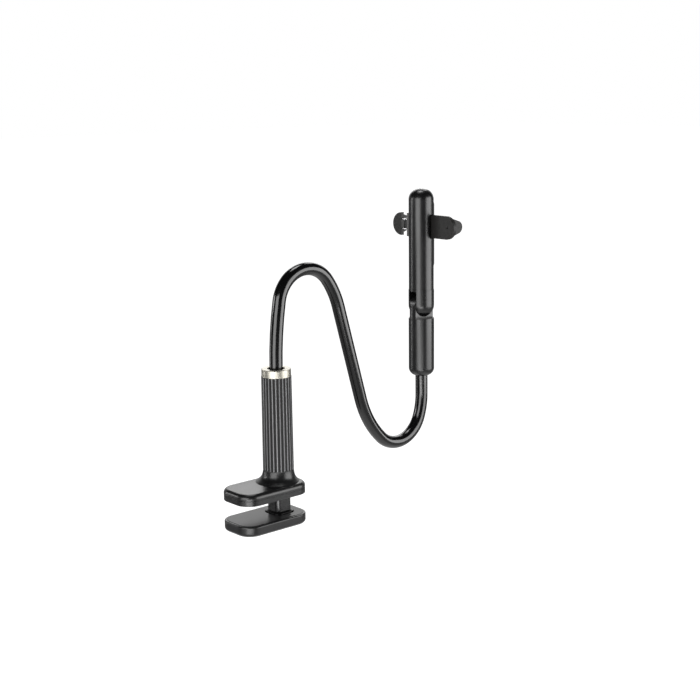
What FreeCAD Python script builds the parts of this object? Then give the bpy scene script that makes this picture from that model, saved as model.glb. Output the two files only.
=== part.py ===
import FreeCAD, Part
import math
import os
import Sketcher

# Desk phone stand: a twist clamp for a desk edge, a flexible neck, a tilting bar and two phone grips.
# Millimetres, +Z up. The origin is the centre of the upper jaw's pad face, which lies on the desk top.
# +X runs from the clamp towards the head, and the phone is held on the bar's +X side.

doc = FreeCAD.newDocument("desk_phone_stand")
sheet = doc.addObject("Spreadsheet::Sheet", "Sizes")
V = FreeCAD.Vector
pieces = []

# How far a cutting shape runs past the face it opens, how far joined shapes reach into each other,
# and the sliver of straight edge left beside a full round.
OVERRUN = 1.0
OVERLAP = 0.5
EDGE_LEFT = 0.01


# Driving dimensions. Each gets a row of the sheet and an alias of the same name.
SIZES = {
    # jaws
    "jaw_length": 86.0,
    "jaw_width": 51.0,
    "jaw_corner": 17.0,
    "jaw_back": 24.0,
    "upper_rim": 7.6,
    "jaw_crown": 4.6,
    "rim_line": 0.7,
    "rim_line_drop": 1.7,
    "lower_thickness": 11.3,
    "lower_round": 4.0,
    "lower_edge": 1.4,
    "jaw_gap": 21.3,
    "pad_thickness": 2.0,
    "pad_proud": 0.4,
    "pad_inset": 2.2,
    "flare_height": 12.6,
    "flare_spread": 9.5,
    "flare_shift": 2.5,
    "flare_skirt": 24.7,
    "flare_sink": 2.4,
    "key_plate": 9.6,
    # clamp column and its drive
    "column_side": 19.6,
    "column_corner": 4.6,
    "foot_out": 2.4,
    "foot_height": 2.5,
    "foot_step": 1.0,
    "tube_outer": 13.2,
    "tube_wall": 0.9,
    "tube_below": 6.3,
    "track_width": 6.6,
    "track_margin": 2.0,
    "track_foot": 1.8,
    "lug_height": 10.0,
    "lug_reach": 13.95,
    "jaw_rise": 17.0,
    "jaw_drop": 45.0,
    "screw_radius": 2.0,
    "screw_head": 3.8,
    "screw_head_height": 2.4,
    "screw_sink": 3.8,
    "screw_length": 16.0,
    "screw_tip_room": 0.5,
    "screw_spacing": 9.0,
    # grip
    "grip_radius": 16.45,
    "grip_top_radius": 15.9,
    "grip_length": 100.15,
    "grip_bore": 14.3,
    "lip_height": 3.0,
    "flute_count": 26,
    "flute_radius": 2.3,
    "flute_depth": 0.6,
    "washer_thickness": 0.8,
    "ring_radius": 15.5,
    "ring_height": 8.0,
    "ring_bore": 9.5,
    "ring_edge": 0.7,
    "spigot_length": 2.6,
    "spigot_wall": 1.7,
    # neck
    "neck_radius": 7.0,
    "socket_depth": 16.0,
    "socket_floor": 3.0,
    "flange_height": 2.6,
    "collar_radius": 9.0,
    "collar_height": 8.0,
    "neck_rise": 0.7,
    "arch_lead_radius": 400.0,
    "arch_lead_turn": 10.0,
    "arch_radius": 36.7,
    "arch_turn": 133.0,
    "arch_tail_radius": 94.0,
    "arch_tail_turn": 21.0,
    "neck_run": 111.672,
    "dip_lead_radius": 109.0,
    "dip_lead_turn": 31.0,
    "dip_radius": 36.5,
    "dip_turn": 111.5,
    "dip_tail_radius": 72.0,
    # lower capsule and knuckle
    "capsule_radius": 14.5,
    "capsule_bottom": 94.9,
    "cap_height": 10.0,
    "cap_round": 8.8,
    "cap_spigot": 5.5,
    "cap_spigot_radius": 12.0,
    "neck_insert": 25.0,
    "base_length": 82.0,
    "shoulder_drop": 15.2,
    "tongue_half": 4.9,
    "friction_washer": 0.5,
    "friction_radius": 8.0,
    "slot_head_room": 1.4,
    "pin_radius": 2.5,
    "pin_head": 4.2,
    "pin_head_height": 2.8,
    "pin_head_depth": 2.0,
    "pin_reach": 11.0,
    # bar
    "bar_radius": 14.1,
    "fork_top": 17.6,
    "bar_length": 114.0,
    "bar_round": 11.8,
    "bar_wall": 2.0,
    "plug_radius": 11.5,
    "plug_length": 17.0,
    "flat_reach": 9.6,
    "flat_low": 19.5,
    "flat_high": 8.5,
    "cover_width": 17.8,
    "cover_margin": 2.2,
    "cover_screw_margin": 5.5,
    "cover_head_sink": 1.2,
    "cover_head_height": 1.0,
    "cushion_thickness": 3.8,
    "cushion_width": 18.0,
    "cushion_margin": 5.0,
    "cushion_corner": 5.0,
    "cushion_edge": 1.2,
    # phone grips
    "grip_drop": 42.2,
    "arm_back": 2.2,
    "arm_thickness": 4.0,
    "arm_half": 13.0,
    "arm_tip": 49.0,
    "claw_edge": 34.7,
    "phone_half": 35.75,
    "grip_pad": 2.05,
    "pad_base": 1.2,
    "pad_tall": 11.7,
    "pad_corner": 1.6,
    "pad_ribs": 5,
    "rib_width": 1.4,
    "rib_tall": 10.4,
    "hook_wall": 3.2,
    "hook_tip": 24.5,
    "hook_tip_radius": 7.0,
    "hook_root_half": 11.8,
    "lip_reach": 4.4,
    "lip_thickness": 2.5,
    "arm_edge": 0.8,
    "peg_hole": 0.9,
    "peg_hole_depth": 2.2,
    "peg_hole_place": 38.9,
    "prong_inner": 8.0,
    "prong_end": 4.0,
    "web_end": 13.0,
    "rod_radius": 1.0,
    "rod_height": 5.6,
    "rod_inner_end": 0.0,
    "rod_insert": 6.5,
    "slot_back": -0.2,
    "slot_corner": 0.9,
    "guide_margin": 1.5,
    "guide_half_width": 8.6,
    "bushing_out": 9.4,
    "island_half": 7.3,
    "island_start": 2.0,
    # travel of each grip
    "close_travel": 6.0,
    # clearances
    "slide_clear": 0.3,
    "run_clear": 0.06,
    "seat_clear": 0.05,
    "arm_clear": 0.5,
    "end_play": 0.15,
    "pad_hole_clear": 1.0,
}
for row, (alias, number) in enumerate(SIZES.items(), 1):
    sheet.set(f"A{row}", alias.replace("_", " "))
    sheet.set(f"B{row}", str(number))
    sheet.setAlias(f"B{row}", alias)
doc.recompute()

# Places that follow from the driving dimensions, as expressions on the sheet.
POST_X = "(Sizes.jaw_length / 2 - Sizes.jaw_back)"
PLATE_TOP = "(Sizes.pad_proud + Sizes.upper_rim + Sizes.jaw_crown)"
FLARE_TOP = f"({PLATE_TOP} + Sizes.flare_height)"
KEY_TOP = "(Sizes.pad_proud + Sizes.key_plate)"
TUBE_BORE = "(Sizes.tube_outer - Sizes.tube_wall)"
GRIP_BOTTOM = f"({FLARE_TOP} + Sizes.washer_thickness + Sizes.end_play)"
GRIP_TOP = f"({GRIP_BOTTOM} + Sizes.grip_length)"
TUBE_TOP = f"({GRIP_TOP} - Sizes.tube_below)"
TRACK_LOW = f"({FLARE_TOP} + Sizes.track_foot)"
COLUMN_TOP = f"({TRACK_LOW} + Sizes.track_margin + Sizes.jaw_drop)"
TRACK_HIGH = f"({COLUMN_TOP} + Sizes.lug_height + Sizes.jaw_rise + Sizes.track_margin)"
LOWER_TOP = "(-Sizes.jaw_gap - Sizes.pad_proud)"
LOWER_BOTTOM = f"({LOWER_TOP} - Sizes.lower_thickness)"
LIP_TOP = f"({TUBE_TOP} - Sizes.end_play)"
RING_BOTTOM = GRIP_TOP
ACROSS_TUBE = (f"{POST_X} - 1.5 * Sizes.tube_outer", f"{POST_X} + 1.5 * Sizes.tube_outer")
NECK_START = f"({RING_BOTTOM} + Sizes.ring_height + Sizes.neck_rise)"


def cosine(angle):
    return f"cos({angle} * 1 deg)"


# The neck's heading, from straight up towards +X, after each arc of its route.
ARCH_1 = "Sizes.arch_lead_turn"
ARCH_2 = f"({ARCH_1} + Sizes.arch_turn)"
ARCH_3 = f"({ARCH_2} + Sizes.arch_tail_turn)"
DIP_1 = f"({ARCH_3} - Sizes.dip_lead_turn)"
DIP_2 = f"({DIP_1} - Sizes.dip_turn)"
ARCH_REACH = (f"Sizes.arch_lead_radius * (1 - {cosine(ARCH_1)})"
              f" + Sizes.arch_radius * ({cosine(ARCH_1)} - {cosine(ARCH_2)})"
              f" + Sizes.arch_tail_radius * ({cosine(ARCH_2)} - {cosine(ARCH_3)})")
DIP_REACH = (f"Sizes.dip_lead_radius * ({cosine(DIP_1)} - {cosine(ARCH_3)})"
             f" + Sizes.dip_radius * ({cosine(DIP_2)} - {cosine(DIP_1)})"
             f" + Sizes.dip_tail_radius * (1 - {cosine(DIP_2)})")
HEAD_X = f"({POST_X} + {ARCH_REACH} + Sizes.neck_run * sin({ARCH_3} * 1 deg) + {DIP_REACH})"
ACROSS_HEAD = (f"{HEAD_X} - 1.5 * Sizes.capsule_radius", f"{HEAD_X} + 1.5 * Sizes.capsule_radius")
CAP_TOP = "(Sizes.capsule_bottom + Sizes.cap_height)"
HINGE_Z = "(Sizes.capsule_bottom + Sizes.base_length)"
SHOULDER = f"({HINGE_Z} - Sizes.shoulder_drop)"
SLOT_HALF = "(Sizes.tongue_half + Sizes.friction_washer + 2 * Sizes.seat_clear)"
SLOT_TOP = f"({HINGE_Z} + Sizes.capsule_radius + Sizes.slot_head_room)"
BAR_BOTTOM = f"({HINGE_Z} + Sizes.fork_top)"
BAR_TOP = f"({BAR_BOTTOM} + Sizes.bar_length)"
GRIP_Z = f"({BAR_TOP} - Sizes.grip_drop)"
PIN_HEAD_SEAT = "(Sizes.capsule_radius - Sizes.pin_head_depth - Sizes.pin_head_height)"
FLAT_X = f"({HEAD_X} + Sizes.flat_reach)"
COVER_BACK = f"({FLAT_X} - Sizes.bar_wall)"
FLAT_START = f"({BAR_BOTTOM} + Sizes.flat_low)"
FLAT_END = f"({BAR_TOP} - Sizes.flat_high)"
COVER_START = f"({FLAT_START} + Sizes.cover_margin)"
COVER_END = f"({FLAT_END} - Sizes.cover_margin)"
COVER_SCREWS = (("low", f"{COVER_START} + Sizes.cover_screw_margin"),
                ("high", f"{COVER_END} - Sizes.cover_screw_margin"))
CAVITY_START = f"({COVER_START} + 2 * Sizes.cover_screw_margin)"
CAVITY_END = f"({COVER_END} - 2 * Sizes.cover_screw_margin)"
ARM_BACK = f"({HEAD_X} + Sizes.arm_back)"
ARM_FRONT = f"({ARM_BACK} + Sizes.arm_thickness)"
ARM_MIDDLE = f"({ARM_BACK} + Sizes.arm_thickness / 2)"
SLOT_BACK = f"({HEAD_X} + Sizes.slot_back)"
SLOT_FRONT = f"({ARM_FRONT} + Sizes.arm_clear)"
SLOT_TALL = "(2 * (Sizes.arm_half + Sizes.arm_clear))"
WALL_INNER = "(Sizes.phone_half + Sizes.grip_pad)"
WALL_OUTER = f"({WALL_INNER} + Sizes.hook_wall)"
HOOK_TIP = f"({HEAD_X} + Sizes.hook_tip)"
LIP_BACK = f"({HOOK_TIP} - Sizes.lip_thickness)"


def value(expression):
    """The number that an expression on the sheet has now."""
    return float(sheet.evalExpression(expression))


def bind(target, prop, expression):
    target.setExpression(prop, str(expression))


def place(target, x="0", y="0", z="0"):
    for axis, expression in zip("xyz", (x, y, z)):
        bind(target, f"Placement.Base.{axis}", expression)


def piece(target, label):
    """Give a finished sub-part the label that names its file."""
    target.Label = label
    pieces.append(target)
    return target


# Part primitives whose sizes and places are bound to the sheet.

TURNS = {
    "Z": FreeCAD.Rotation(),
    "X": FreeCAD.Rotation(V(0, 1, 0), 90),
    "Y": FreeCAD.Rotation(V(1, 0, 0), -90),
    "-Y": FreeCAD.Rotation(V(1, 0, 0), 90),
}


def cylinder(name, radius, length, x="0", y="0", z="0", along="Z"):
    made = doc.addObject("Part::Cylinder", name)
    made.Placement.Rotation = TURNS[along]
    bind(made, "Radius", radius)
    bind(made, "Height", length)
    place(made, x, y, z)
    return made


def cone(name, radius, end_radius, length, x="0", y="0", z="0"):
    made = doc.addObject("Part::Cone", name)
    bind(made, "Radius1", radius)
    bind(made, "Radius2", end_radius)
    bind(made, "Height", length)
    place(made, x, y, z)
    return made


def box(name, x_range, y_range, z_range):
    made = doc.addObject("Part::Box", name)
    for side, (low, high) in zip(("Length", "Width", "Height"), (x_range, y_range, z_range)):
        bind(made, side, f"({high}) - ({low})")
    place(made, x_range[0], y_range[0], z_range[0])
    return made


def sphere(name, radius, x, y, z):
    made = doc.addObject("Part::Sphere", name)
    bind(made, "Radius", radius)
    place(made, x, y, z)
    return made


def fuse(name, *shapes):
    made = doc.addObject("Part::MultiFuse", name)
    made.Shapes = list(shapes)
    made.Refine = True
    return made


def common(name, *shapes):
    made = doc.addObject("Part::MultiCommon", name)
    made.Shapes = list(shapes)
    return made


def cut(name, base, *tools):
    made = doc.addObject("Part::Cut", name)
    made.Base = base
    made.Tool = tools[0] if len(tools) == 1 else fuse(name + "_tools", *tools)
    made.Refine = True
    return made


def group(name, *solids):
    made = doc.addObject("Part::Compound", name)
    made.Links = list(solids)
    return made


# Bodies built from sketches.

def body(label):
    made = doc.addObject("PartDesign::Body", label + "_body")
    return piece(made, label)


def sketch(owner, name, plane="XY", x="0", y="0", z="0"):
    """An empty sketch on one of the body's own planes, moved to x, y, z in that plane's own axes."""
    made = owner.newObject("Sketcher::SketchObject", name)
    planes = {feature.Role: feature for feature in owner.Origin.OriginFeatures}
    made.AttachmentSupport = [(planes[plane + "_Plane"], "")]
    made.MapMode = "FlatFace"
    for axis, expression in zip("xyz", (x, y, z)):
        bind(made, f"AttachmentOffset.Base.{axis}", expression)
    return made


def hold(drawing, expression, *constraint):
    """Add a dimension to a sketch and bind it to the sheet."""
    index = drawing.addConstraint(Sketcher.Constraint(*constraint, value(expression)))
    drawing.setExpression(f"Constraints[{index}]", str(expression))


def circle(drawing, radius):
    index = drawing.addGeometry(Part.Circle(V(0, 0, 0), V(0, 0, 1), value(radius)))
    drawing.addConstraint(Sketcher.Constraint("Coincident", index, 3, -1, 1))
    hold(drawing, radius, "Radius", index)


def rounded_rectangle(drawing, length, width, corner):
    """A rectangle with round corners, centred on the sketch's own origin."""
    half_x, half_y, r = value(length) / 2, value(width) / 2, value(corner)
    inner_x, inner_y = half_x - r, half_y - r
    lines = [
        (V(-inner_x, -half_y, 0), V(inner_x, -half_y, 0)),
        (V(half_x, -inner_y, 0), V(half_x, inner_y, 0)),
        (V(inner_x, half_y, 0), V(-inner_x, half_y, 0)),
        (V(-half_x, inner_y, 0), V(-half_x, -inner_y, 0)),
    ]
    centres = [V(inner_x, -inner_y, 0), V(inner_x, inner_y, 0), V(-inner_x, inner_y, 0),
               V(-inner_x, -inner_y, 0)]
    sides = [drawing.addGeometry(Part.LineSegment(*ends)) for ends in lines]
    arcs = []
    for quarter, centre in enumerate(centres):
        start = -math.pi / 2 + quarter * math.pi / 2
        curve = Part.Circle(centre, V(0, 0, 1), r)
        arcs.append(drawing.addGeometry(Part.ArcOfCircle(curve, start, start + math.pi / 2)))
    for index in range(4):
        drawing.addConstraint(Sketcher.Constraint("Tangent", sides[index], 2, arcs[index], 1))
        drawing.addConstraint(Sketcher.Constraint("Tangent", arcs[index], 2, sides[(index + 1) % 4], 1))
    for index in (0, 2):
        drawing.addConstraint(Sketcher.Constraint("Horizontal", sides[index]))
        drawing.addConstraint(Sketcher.Constraint("Vertical", sides[index + 1]))
    for index in (1, 2, 3):
        drawing.addConstraint(Sketcher.Constraint("Equal", arcs[0], arcs[index]))
    drawing.addConstraint(Sketcher.Constraint("Symmetric", arcs[0], 3, arcs[2], 3, -1, 1))
    hold(drawing, corner, "Radius", arcs[0])
    hold(drawing, length, "DistanceX", sides[3], 1, sides[1], 1)
    hold(drawing, width, "DistanceY", sides[0], 1, sides[2], 2)


def rectangle(drawing, length, width):
    """A rectangle centred on the sketch's own origin."""
    x, y = value(length) / 2, value(width) / 2
    corners = [V(-x, -y, 0), V(x, -y, 0), V(x, y, 0), V(-x, y, 0)]
    sides = [drawing.addGeometry(Part.LineSegment(corners[i], corners[(i + 1) % 4])) for i in range(4)]
    for index in range(4):
        drawing.addConstraint(Sketcher.Constraint("Coincident", sides[index], 2, sides[(index + 1) % 4], 1))
    for index in (0, 2):
        drawing.addConstraint(Sketcher.Constraint("Horizontal", sides[index]))
        drawing.addConstraint(Sketcher.Constraint("Vertical", sides[index + 1]))
    drawing.addConstraint(Sketcher.Constraint("Symmetric", sides[0], 1, sides[2], 1, -1, 1))
    hold(drawing, length, "DistanceX", sides[0], 1, sides[0], 2)
    hold(drawing, width, "DistanceY", sides[1], 1, sides[1], 2)


def solid_feature(owner, kind, name, profile, length, backwards=False):
    doc.recompute()
    made = owner.newObject("PartDesign::" + kind, name)
    made.Profile = profile
    made.Reversed = backwards
    bind(made, "Length", length)
    doc.recompute()
    return made


def pad(owner, name, profile, length, backwards=False):
    return solid_feature(owner, "Pad", name, profile, length, backwards)


def pocket(owner, name, profile, length, backwards=False):
    before = owner.Shape.Volume
    made = solid_feature(owner, "Pocket", name, profile, length, backwards)
    if owner.Shape.Volume > before - 1e-3:
        raise RuntimeError(f"{name} cuts nothing")
    return made


def edges_where(owner, test):
    return [f"Edge{i}" for i, edge in enumerate(owner.Shape.Edges, 1) if test(edge)]


def dress(owner, kind, name, test, amount):
    """A fillet or chamfer on the edges of the finished body that pass a test."""
    names = edges_where(owner, test)
    if not names:
        raise RuntimeError(f"{name} finds no edge")
    base = owner.Tip
    made = owner.newObject("PartDesign::" + kind, name)
    made.Base = (base, names)
    bind(made, "Size" if kind == "Chamfer" else "Radius", amount)
    doc.recompute()
    return made


def at_level(axis, expression):
    """True for an edge that lies wholly at one level of an axis."""
    level = value(expression)

    def test(edge):
        low = getattr(edge.BoundBox, axis + "Min")
        high = getattr(edge.BoundBox, axis + "Max")
        return abs(low - level) < 1e-4 and abs(high - level) < 1e-4

    return test


# Upper jaw: a rounded plate whose crown flares up into the round seat of the twist grip.
# The flare's wall follows an ellipse: its rings stand at these angles of the quarter, from plate to seat.
FLARE_ANGLES = (0, 25, 45, 65, 90)


def make_upper_jaw():
    jaw = body("upper_jaw")
    outline = sketch(jaw, "upper_outline", z="Sizes.pad_proud")
    rounded_rectangle(outline, "Sizes.jaw_length", "Sizes.jaw_width", "Sizes.jaw_corner")
    pad(jaw, "upper_plate", outline, "Sizes.upper_rim + Sizes.jaw_crown")
    dress(jaw, "Fillet", "upper_crown", at_level("Z", PLATE_TOP), f"Sizes.jaw_crown - {EDGE_LEFT}")

    rings = []
    for step, angle in enumerate(FLARE_ANGLES):
        inward = f"(1 - sin({angle} deg))"
        level = f"{PLATE_TOP} + Sizes.flare_height * (1 - cos({angle} deg))"
        radius = f"Sizes.grip_radius + Sizes.flare_spread * {inward}"
        if step == 0:
            level = f"{PLATE_TOP} - Sizes.flare_sink"
            radius = "Sizes.flare_skirt"
        ring = sketch(jaw, f"flare_ring_{step}", x=f"{POST_X} - Sizes.flare_shift * {inward}", z=level)
        circle(ring, radius)
        rings.append(ring)
    doc.recompute()
    flare = jaw.newObject("PartDesign::AdditiveLoft", "upper_flare")
    flare.Profile = rings[0]
    flare.Sections = rings[1:]
    doc.recompute()

    seat = sketch(jaw, "tube_seat_outline", x=POST_X, z=FLARE_TOP)
    circle(seat, "Sizes.tube_outer + Sizes.seat_clear")
    pocket(jaw, "tube_seat", seat, f"{FLARE_TOP} - {KEY_TOP}")
    key = sketch(jaw, "key_outline", x=POST_X, z=KEY_TOP)
    side = "Sizes.column_side + 2 * Sizes.slide_clear"
    rounded_rectangle(key, side, side, "Sizes.column_corner + Sizes.slide_clear")
    pocket(jaw, "key_hole", key, f"{KEY_TOP}")
    recess = sketch(jaw, "upper_recess_outline", z="Sizes.pad_proud")
    pad_outline(recess, "0")
    pocket(jaw, "upper_recess", recess, "Sizes.pad_thickness - Sizes.pad_proud", True)

    line = sketch(jaw, "rim_line_outline", z="Sizes.pad_proud + Sizes.upper_rim - Sizes.rim_line_drop")
    rounded_rectangle(line, f"Sizes.jaw_length + 2 * {OVERRUN}", f"Sizes.jaw_width + 2 * {OVERRUN}",
                      f"Sizes.jaw_corner + {OVERRUN}")
    rounded_rectangle(line, "Sizes.jaw_length - 2 * Sizes.rim_line", "Sizes.jaw_width - 2 * Sizes.rim_line",
                      "Sizes.jaw_corner - Sizes.rim_line")
    pocket(jaw, "rim_groove", line, "Sizes.rim_line")


def pad_outline(drawing, clearance):
    inset = f"2 * (Sizes.pad_inset + {clearance})"
    rounded_rectangle(drawing, f"Sizes.jaw_length - {inset}", f"Sizes.jaw_width - {inset}",
                      f"Sizes.jaw_corner - Sizes.pad_inset - {clearance}")


def make_pad(label, level, hole_side, hole_corner):
    """A rubber pad set into a jaw, with a window for the column."""
    made = body(label)
    outline = sketch(made, label + "_outline", z=level)
    pad_outline(outline, "Sizes.seat_clear")
    pad(made, label + "_sheet", outline, "Sizes.pad_thickness")
    window = sketch(made, label + "_window_outline", x=POST_X, z=f"{level} + Sizes.pad_thickness")
    rounded_rectangle(window, hole_side, hole_side, hole_corner)
    pocket(made, label + "_window", window, "Sizes.pad_thickness")


def make_lower_jaw():
    jaw = body("lower_jaw")
    outline = sketch(jaw, "lower_outline", z=LOWER_BOTTOM)
    rounded_rectangle(outline, "Sizes.jaw_length", "Sizes.jaw_width", "Sizes.jaw_corner")
    pad(jaw, "lower_plate", outline, "Sizes.lower_thickness")
    dress(jaw, "Fillet", "lower_belly", at_level("Z", LOWER_BOTTOM), "Sizes.lower_round")
    dress(jaw, "Fillet", "lower_rim_edge", at_level("Z", LOWER_TOP), "Sizes.lower_edge")
    recess = sketch(jaw, "lower_recess_outline", z=LOWER_TOP)
    pad_outline(recess, "0")
    pocket(jaw, "lower_recess", recess, "Sizes.pad_thickness - Sizes.pad_proud")
    for side, sign in (("left", "+"), ("right", "-")):
        y = f"{sign} Sizes.screw_spacing / 2"
        hole = sketch(jaw, f"screw_hole_{side}", x=POST_X, y=y, z=LOWER_BOTTOM)
        circle(hole, "Sizes.screw_radius + Sizes.seat_clear")
        pocket(jaw, f"screw_bore_{side}", hole, "Sizes.lower_thickness", True)
        seat = sketch(jaw, f"screw_seat_{side}", x=POST_X, y=y, z=LOWER_BOTTOM)
        circle(seat, "Sizes.screw_head + Sizes.slide_clear")
        pocket(jaw, f"screw_sink_{side}", seat, "Sizes.screw_sink", True)


# Clamp column: a square post with round corners and a flared foot, keyed in the upper jaw.

COLUMN_FOOT = f"({LOWER_TOP} - Sizes.pad_thickness + Sizes.pad_proud)"
SCREW_SEAT = f"({LOWER_BOTTOM} + Sizes.screw_sink)"


def make_column():
    column = body("clamp_column")
    profile = sketch(column, "column_outline", x=POST_X, z=COLUMN_FOOT)
    rounded_rectangle(profile, "Sizes.column_side", "Sizes.column_side", "Sizes.column_corner")
    pad(column, "column_post", profile, f"{COLUMN_TOP} - {COLUMN_FOOT}")
    wide = "Sizes.column_side + 2 * Sizes.foot_out"
    base = sketch(column, "foot_outline", x=POST_X, z=COLUMN_FOOT)
    rounded_rectangle(base, wide, wide, "Sizes.column_corner + Sizes.foot_out")
    base_height = f"({LOWER_TOP} + Sizes.pad_proud + Sizes.foot_step)"
    pad(column, "foot_plate", base, f"{base_height} - {COLUMN_FOOT}")
    low = sketch(column, "foot_low", x=POST_X, z=base_height)
    rounded_rectangle(low, wide, wide, "Sizes.column_corner + Sizes.foot_out")
    high = sketch(column, "foot_high", x=POST_X, z=f"{LOWER_TOP} + Sizes.pad_proud + Sizes.foot_height")
    rounded_rectangle(high, "Sizes.column_side", "Sizes.column_side", "Sizes.column_corner")
    doc.recompute()
    flare = column.newObject("PartDesign::AdditiveLoft", "foot_flare")
    flare.Profile = low
    flare.Sections = [high]
    doc.recompute()
    deep = f"{SCREW_SEAT} + Sizes.screw_length + Sizes.screw_tip_room - {COLUMN_FOOT}"
    for side, sign in (("left", "+"), ("right", "-")):
        hole = sketch(column, f"column_screw_{side}", x=POST_X, y=f"{sign} Sizes.screw_spacing / 2",
                      z=COLUMN_FOOT)
        circle(hole, "Sizes.screw_radius + Sizes.seat_clear")
        pocket(column, f"column_bore_{side}", hole, deep, True)
    top = sketch(column, "follower_screw_outline", x=POST_X, z=COLUMN_TOP)
    circle(top, "Sizes.screw_radius + Sizes.seat_clear")
    pocket(column, "follower_bore", top, "Sizes.screw_length")


# The recess in a screw's head, as shares of the head.
SOCKET_WIDE = 0.45
SOCKET_DEEP = 0.6


def screw(name, x, y, z, along, radius, head, head_height, length):
    """A plain screw: a shank from its seat along an axis, and a recessed head behind the seat."""
    back = {"Z": (x, y, f"({z}) - ({head_height})"), "X": (f"({x}) - ({head_height})", y, z),
            "Y": (x, f"({y}) - ({head_height})", z), "-Y": (x, f"({y}) + ({head_height})", z)}[along]
    shank = cylinder(name + "_shank", radius, length, x, y, z, along)
    cap = cylinder(name + "_head", head, head_height, *back, along)
    socket = cylinder(name + "_socket", f"{SOCKET_WIDE} * ({head})", f"{SOCKET_DEEP} * ({head_height})",
                      *back, along)
    return cut(name, fuse(name + "_blank", shank, cap), socket)


def make_column_screws():
    each = []
    for side, sign in (("left", "+"), ("right", "-")):
        each.append(screw(f"column_screw_{side}_solid", POST_X, f"{sign} Sizes.screw_spacing / 2",
                          SCREW_SEAT, "Z",
                          "Sizes.screw_radius", "Sizes.screw_head", "Sizes.screw_head_height",
                          "Sizes.screw_length"))
    piece(group("column_screw_pair", *each), "column_screws")


# Drive: lugs on the follower pass through the tube's two tracks into the thread inside the grip.

def make_follower():
    top = COLUMN_TOP
    disc = cylinder("follower_disc", f"{TUBE_BORE} - Sizes.slide_clear", "Sizes.lug_height", POST_X, "0",
                    top)
    reach = cylinder("follower_reach", "Sizes.lug_reach", "Sizes.lug_height", POST_X, "0", top)
    half = "(Sizes.track_width / 2 - Sizes.slide_clear)"
    bar = box("follower_bar", ACROSS_TUBE, (f"-{half}", half), (top, f"{top} + Sizes.lug_height"))
    lugs = common("follower_lugs", reach, bar)
    hole = cylinder("follower_hole", "Sizes.screw_radius + Sizes.seat_clear", "Sizes.lug_height", POST_X,
                    "0", top)
    sink = cylinder("follower_sink", "Sizes.screw_head + Sizes.slide_clear", "Sizes.screw_sink", POST_X,
                    "0",
                    f"{top} + Sizes.lug_height - Sizes.screw_sink")
    piece(cut("follower_solid", fuse("follower_blank", disc, lugs), hole, sink), "thread_follower")
    seat = f"{top} + Sizes.lug_height - Sizes.screw_sink"
    shank = cylinder("follower_screw_shank", "Sizes.screw_radius", "Sizes.screw_length", POST_X, "0",
                     f"{seat} - Sizes.screw_length")
    cap = cylinder("follower_screw_head", "Sizes.screw_head", "Sizes.screw_head_height", POST_X, "0", seat)
    socket = cylinder("follower_screw_socket", f"{SOCKET_WIDE} * Sizes.screw_head",
                      f"{SOCKET_DEEP} * Sizes.screw_head_height", POST_X, "0",
                      f"{seat} + {1 - SOCKET_DEEP} * Sizes.screw_head_height")
    piece(cut("follower_screw_solid", fuse("follower_screw_blank", shank, cap), socket), "follower_screw")


def make_guide_tube():
    outer = cylinder("tube_outer_wall", "Sizes.tube_outer", f"{TUBE_TOP} - {KEY_TOP}", POST_X, "0", KEY_TOP)
    inner = cylinder("tube_inner_wall", TUBE_BORE, f"{TUBE_TOP} - {KEY_TOP}", POST_X, "0", KEY_TOP)
    half = "(Sizes.track_width / 2)"
    track = box("tube_track", ACROSS_TUBE, (f"-{half}", half), (TRACK_LOW, TRACK_HIGH))
    piece(cut("guide_tube_solid", outer, inner, track), "guide_tube")


SOCKET_BOTTOM = f"({TUBE_TOP} - Sizes.socket_depth)"
NECK_FOOT = f"({SOCKET_BOTTOM} + Sizes.socket_floor)"


def make_neck_socket():
    """A turned plug in the tube's top: its flange keeps the grip down, its collar holds the neck."""
    plug = cylinder("socket_plug", f"{TUBE_BORE} - Sizes.seat_clear", f"{TUBE_TOP} - {SOCKET_BOTTOM}",
                    POST_X, "0",
                    SOCKET_BOTTOM)
    collar = cylinder("socket_collar", "Sizes.collar_radius", "Sizes.flange_height + Sizes.collar_height",
                      POST_X, "0",
                      TUBE_TOP)
    flange = cylinder("socket_flange", "Sizes.grip_bore - Sizes.slide_clear", "Sizes.flange_height",
                      POST_X, "0",
                      TUBE_TOP)
    bore = cylinder("socket_bore", "Sizes.neck_radius + Sizes.seat_clear",
                    f"2 * (Sizes.socket_depth + Sizes.collar_height)", POST_X, "0", NECK_FOOT)
    piece(cut("neck_socket_solid", fuse("socket_blank", plug, collar, flange), bore), "neck_socket")


def washer(name, inner, outer, thickness, z):
    disc = cylinder(name + "_disc", outer, thickness, POST_X, "0", z)
    hole = cylinder(name + "_hole", inner, thickness, POST_X, "0", z)
    return cut(name + "_solid", disc, hole)


def make_slip_washer():
    ring = washer("slip_washer", "Sizes.tube_outer + Sizes.slide_clear",
                  "Sizes.grip_radius - Sizes.slide_clear",
                  "Sizes.washer_thickness", FLARE_TOP)
    piece(ring, "slip_washer")


# Twist grip: a tapered sleeve with flutes, a running lip near its top, and a metal ring pressed on.

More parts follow.
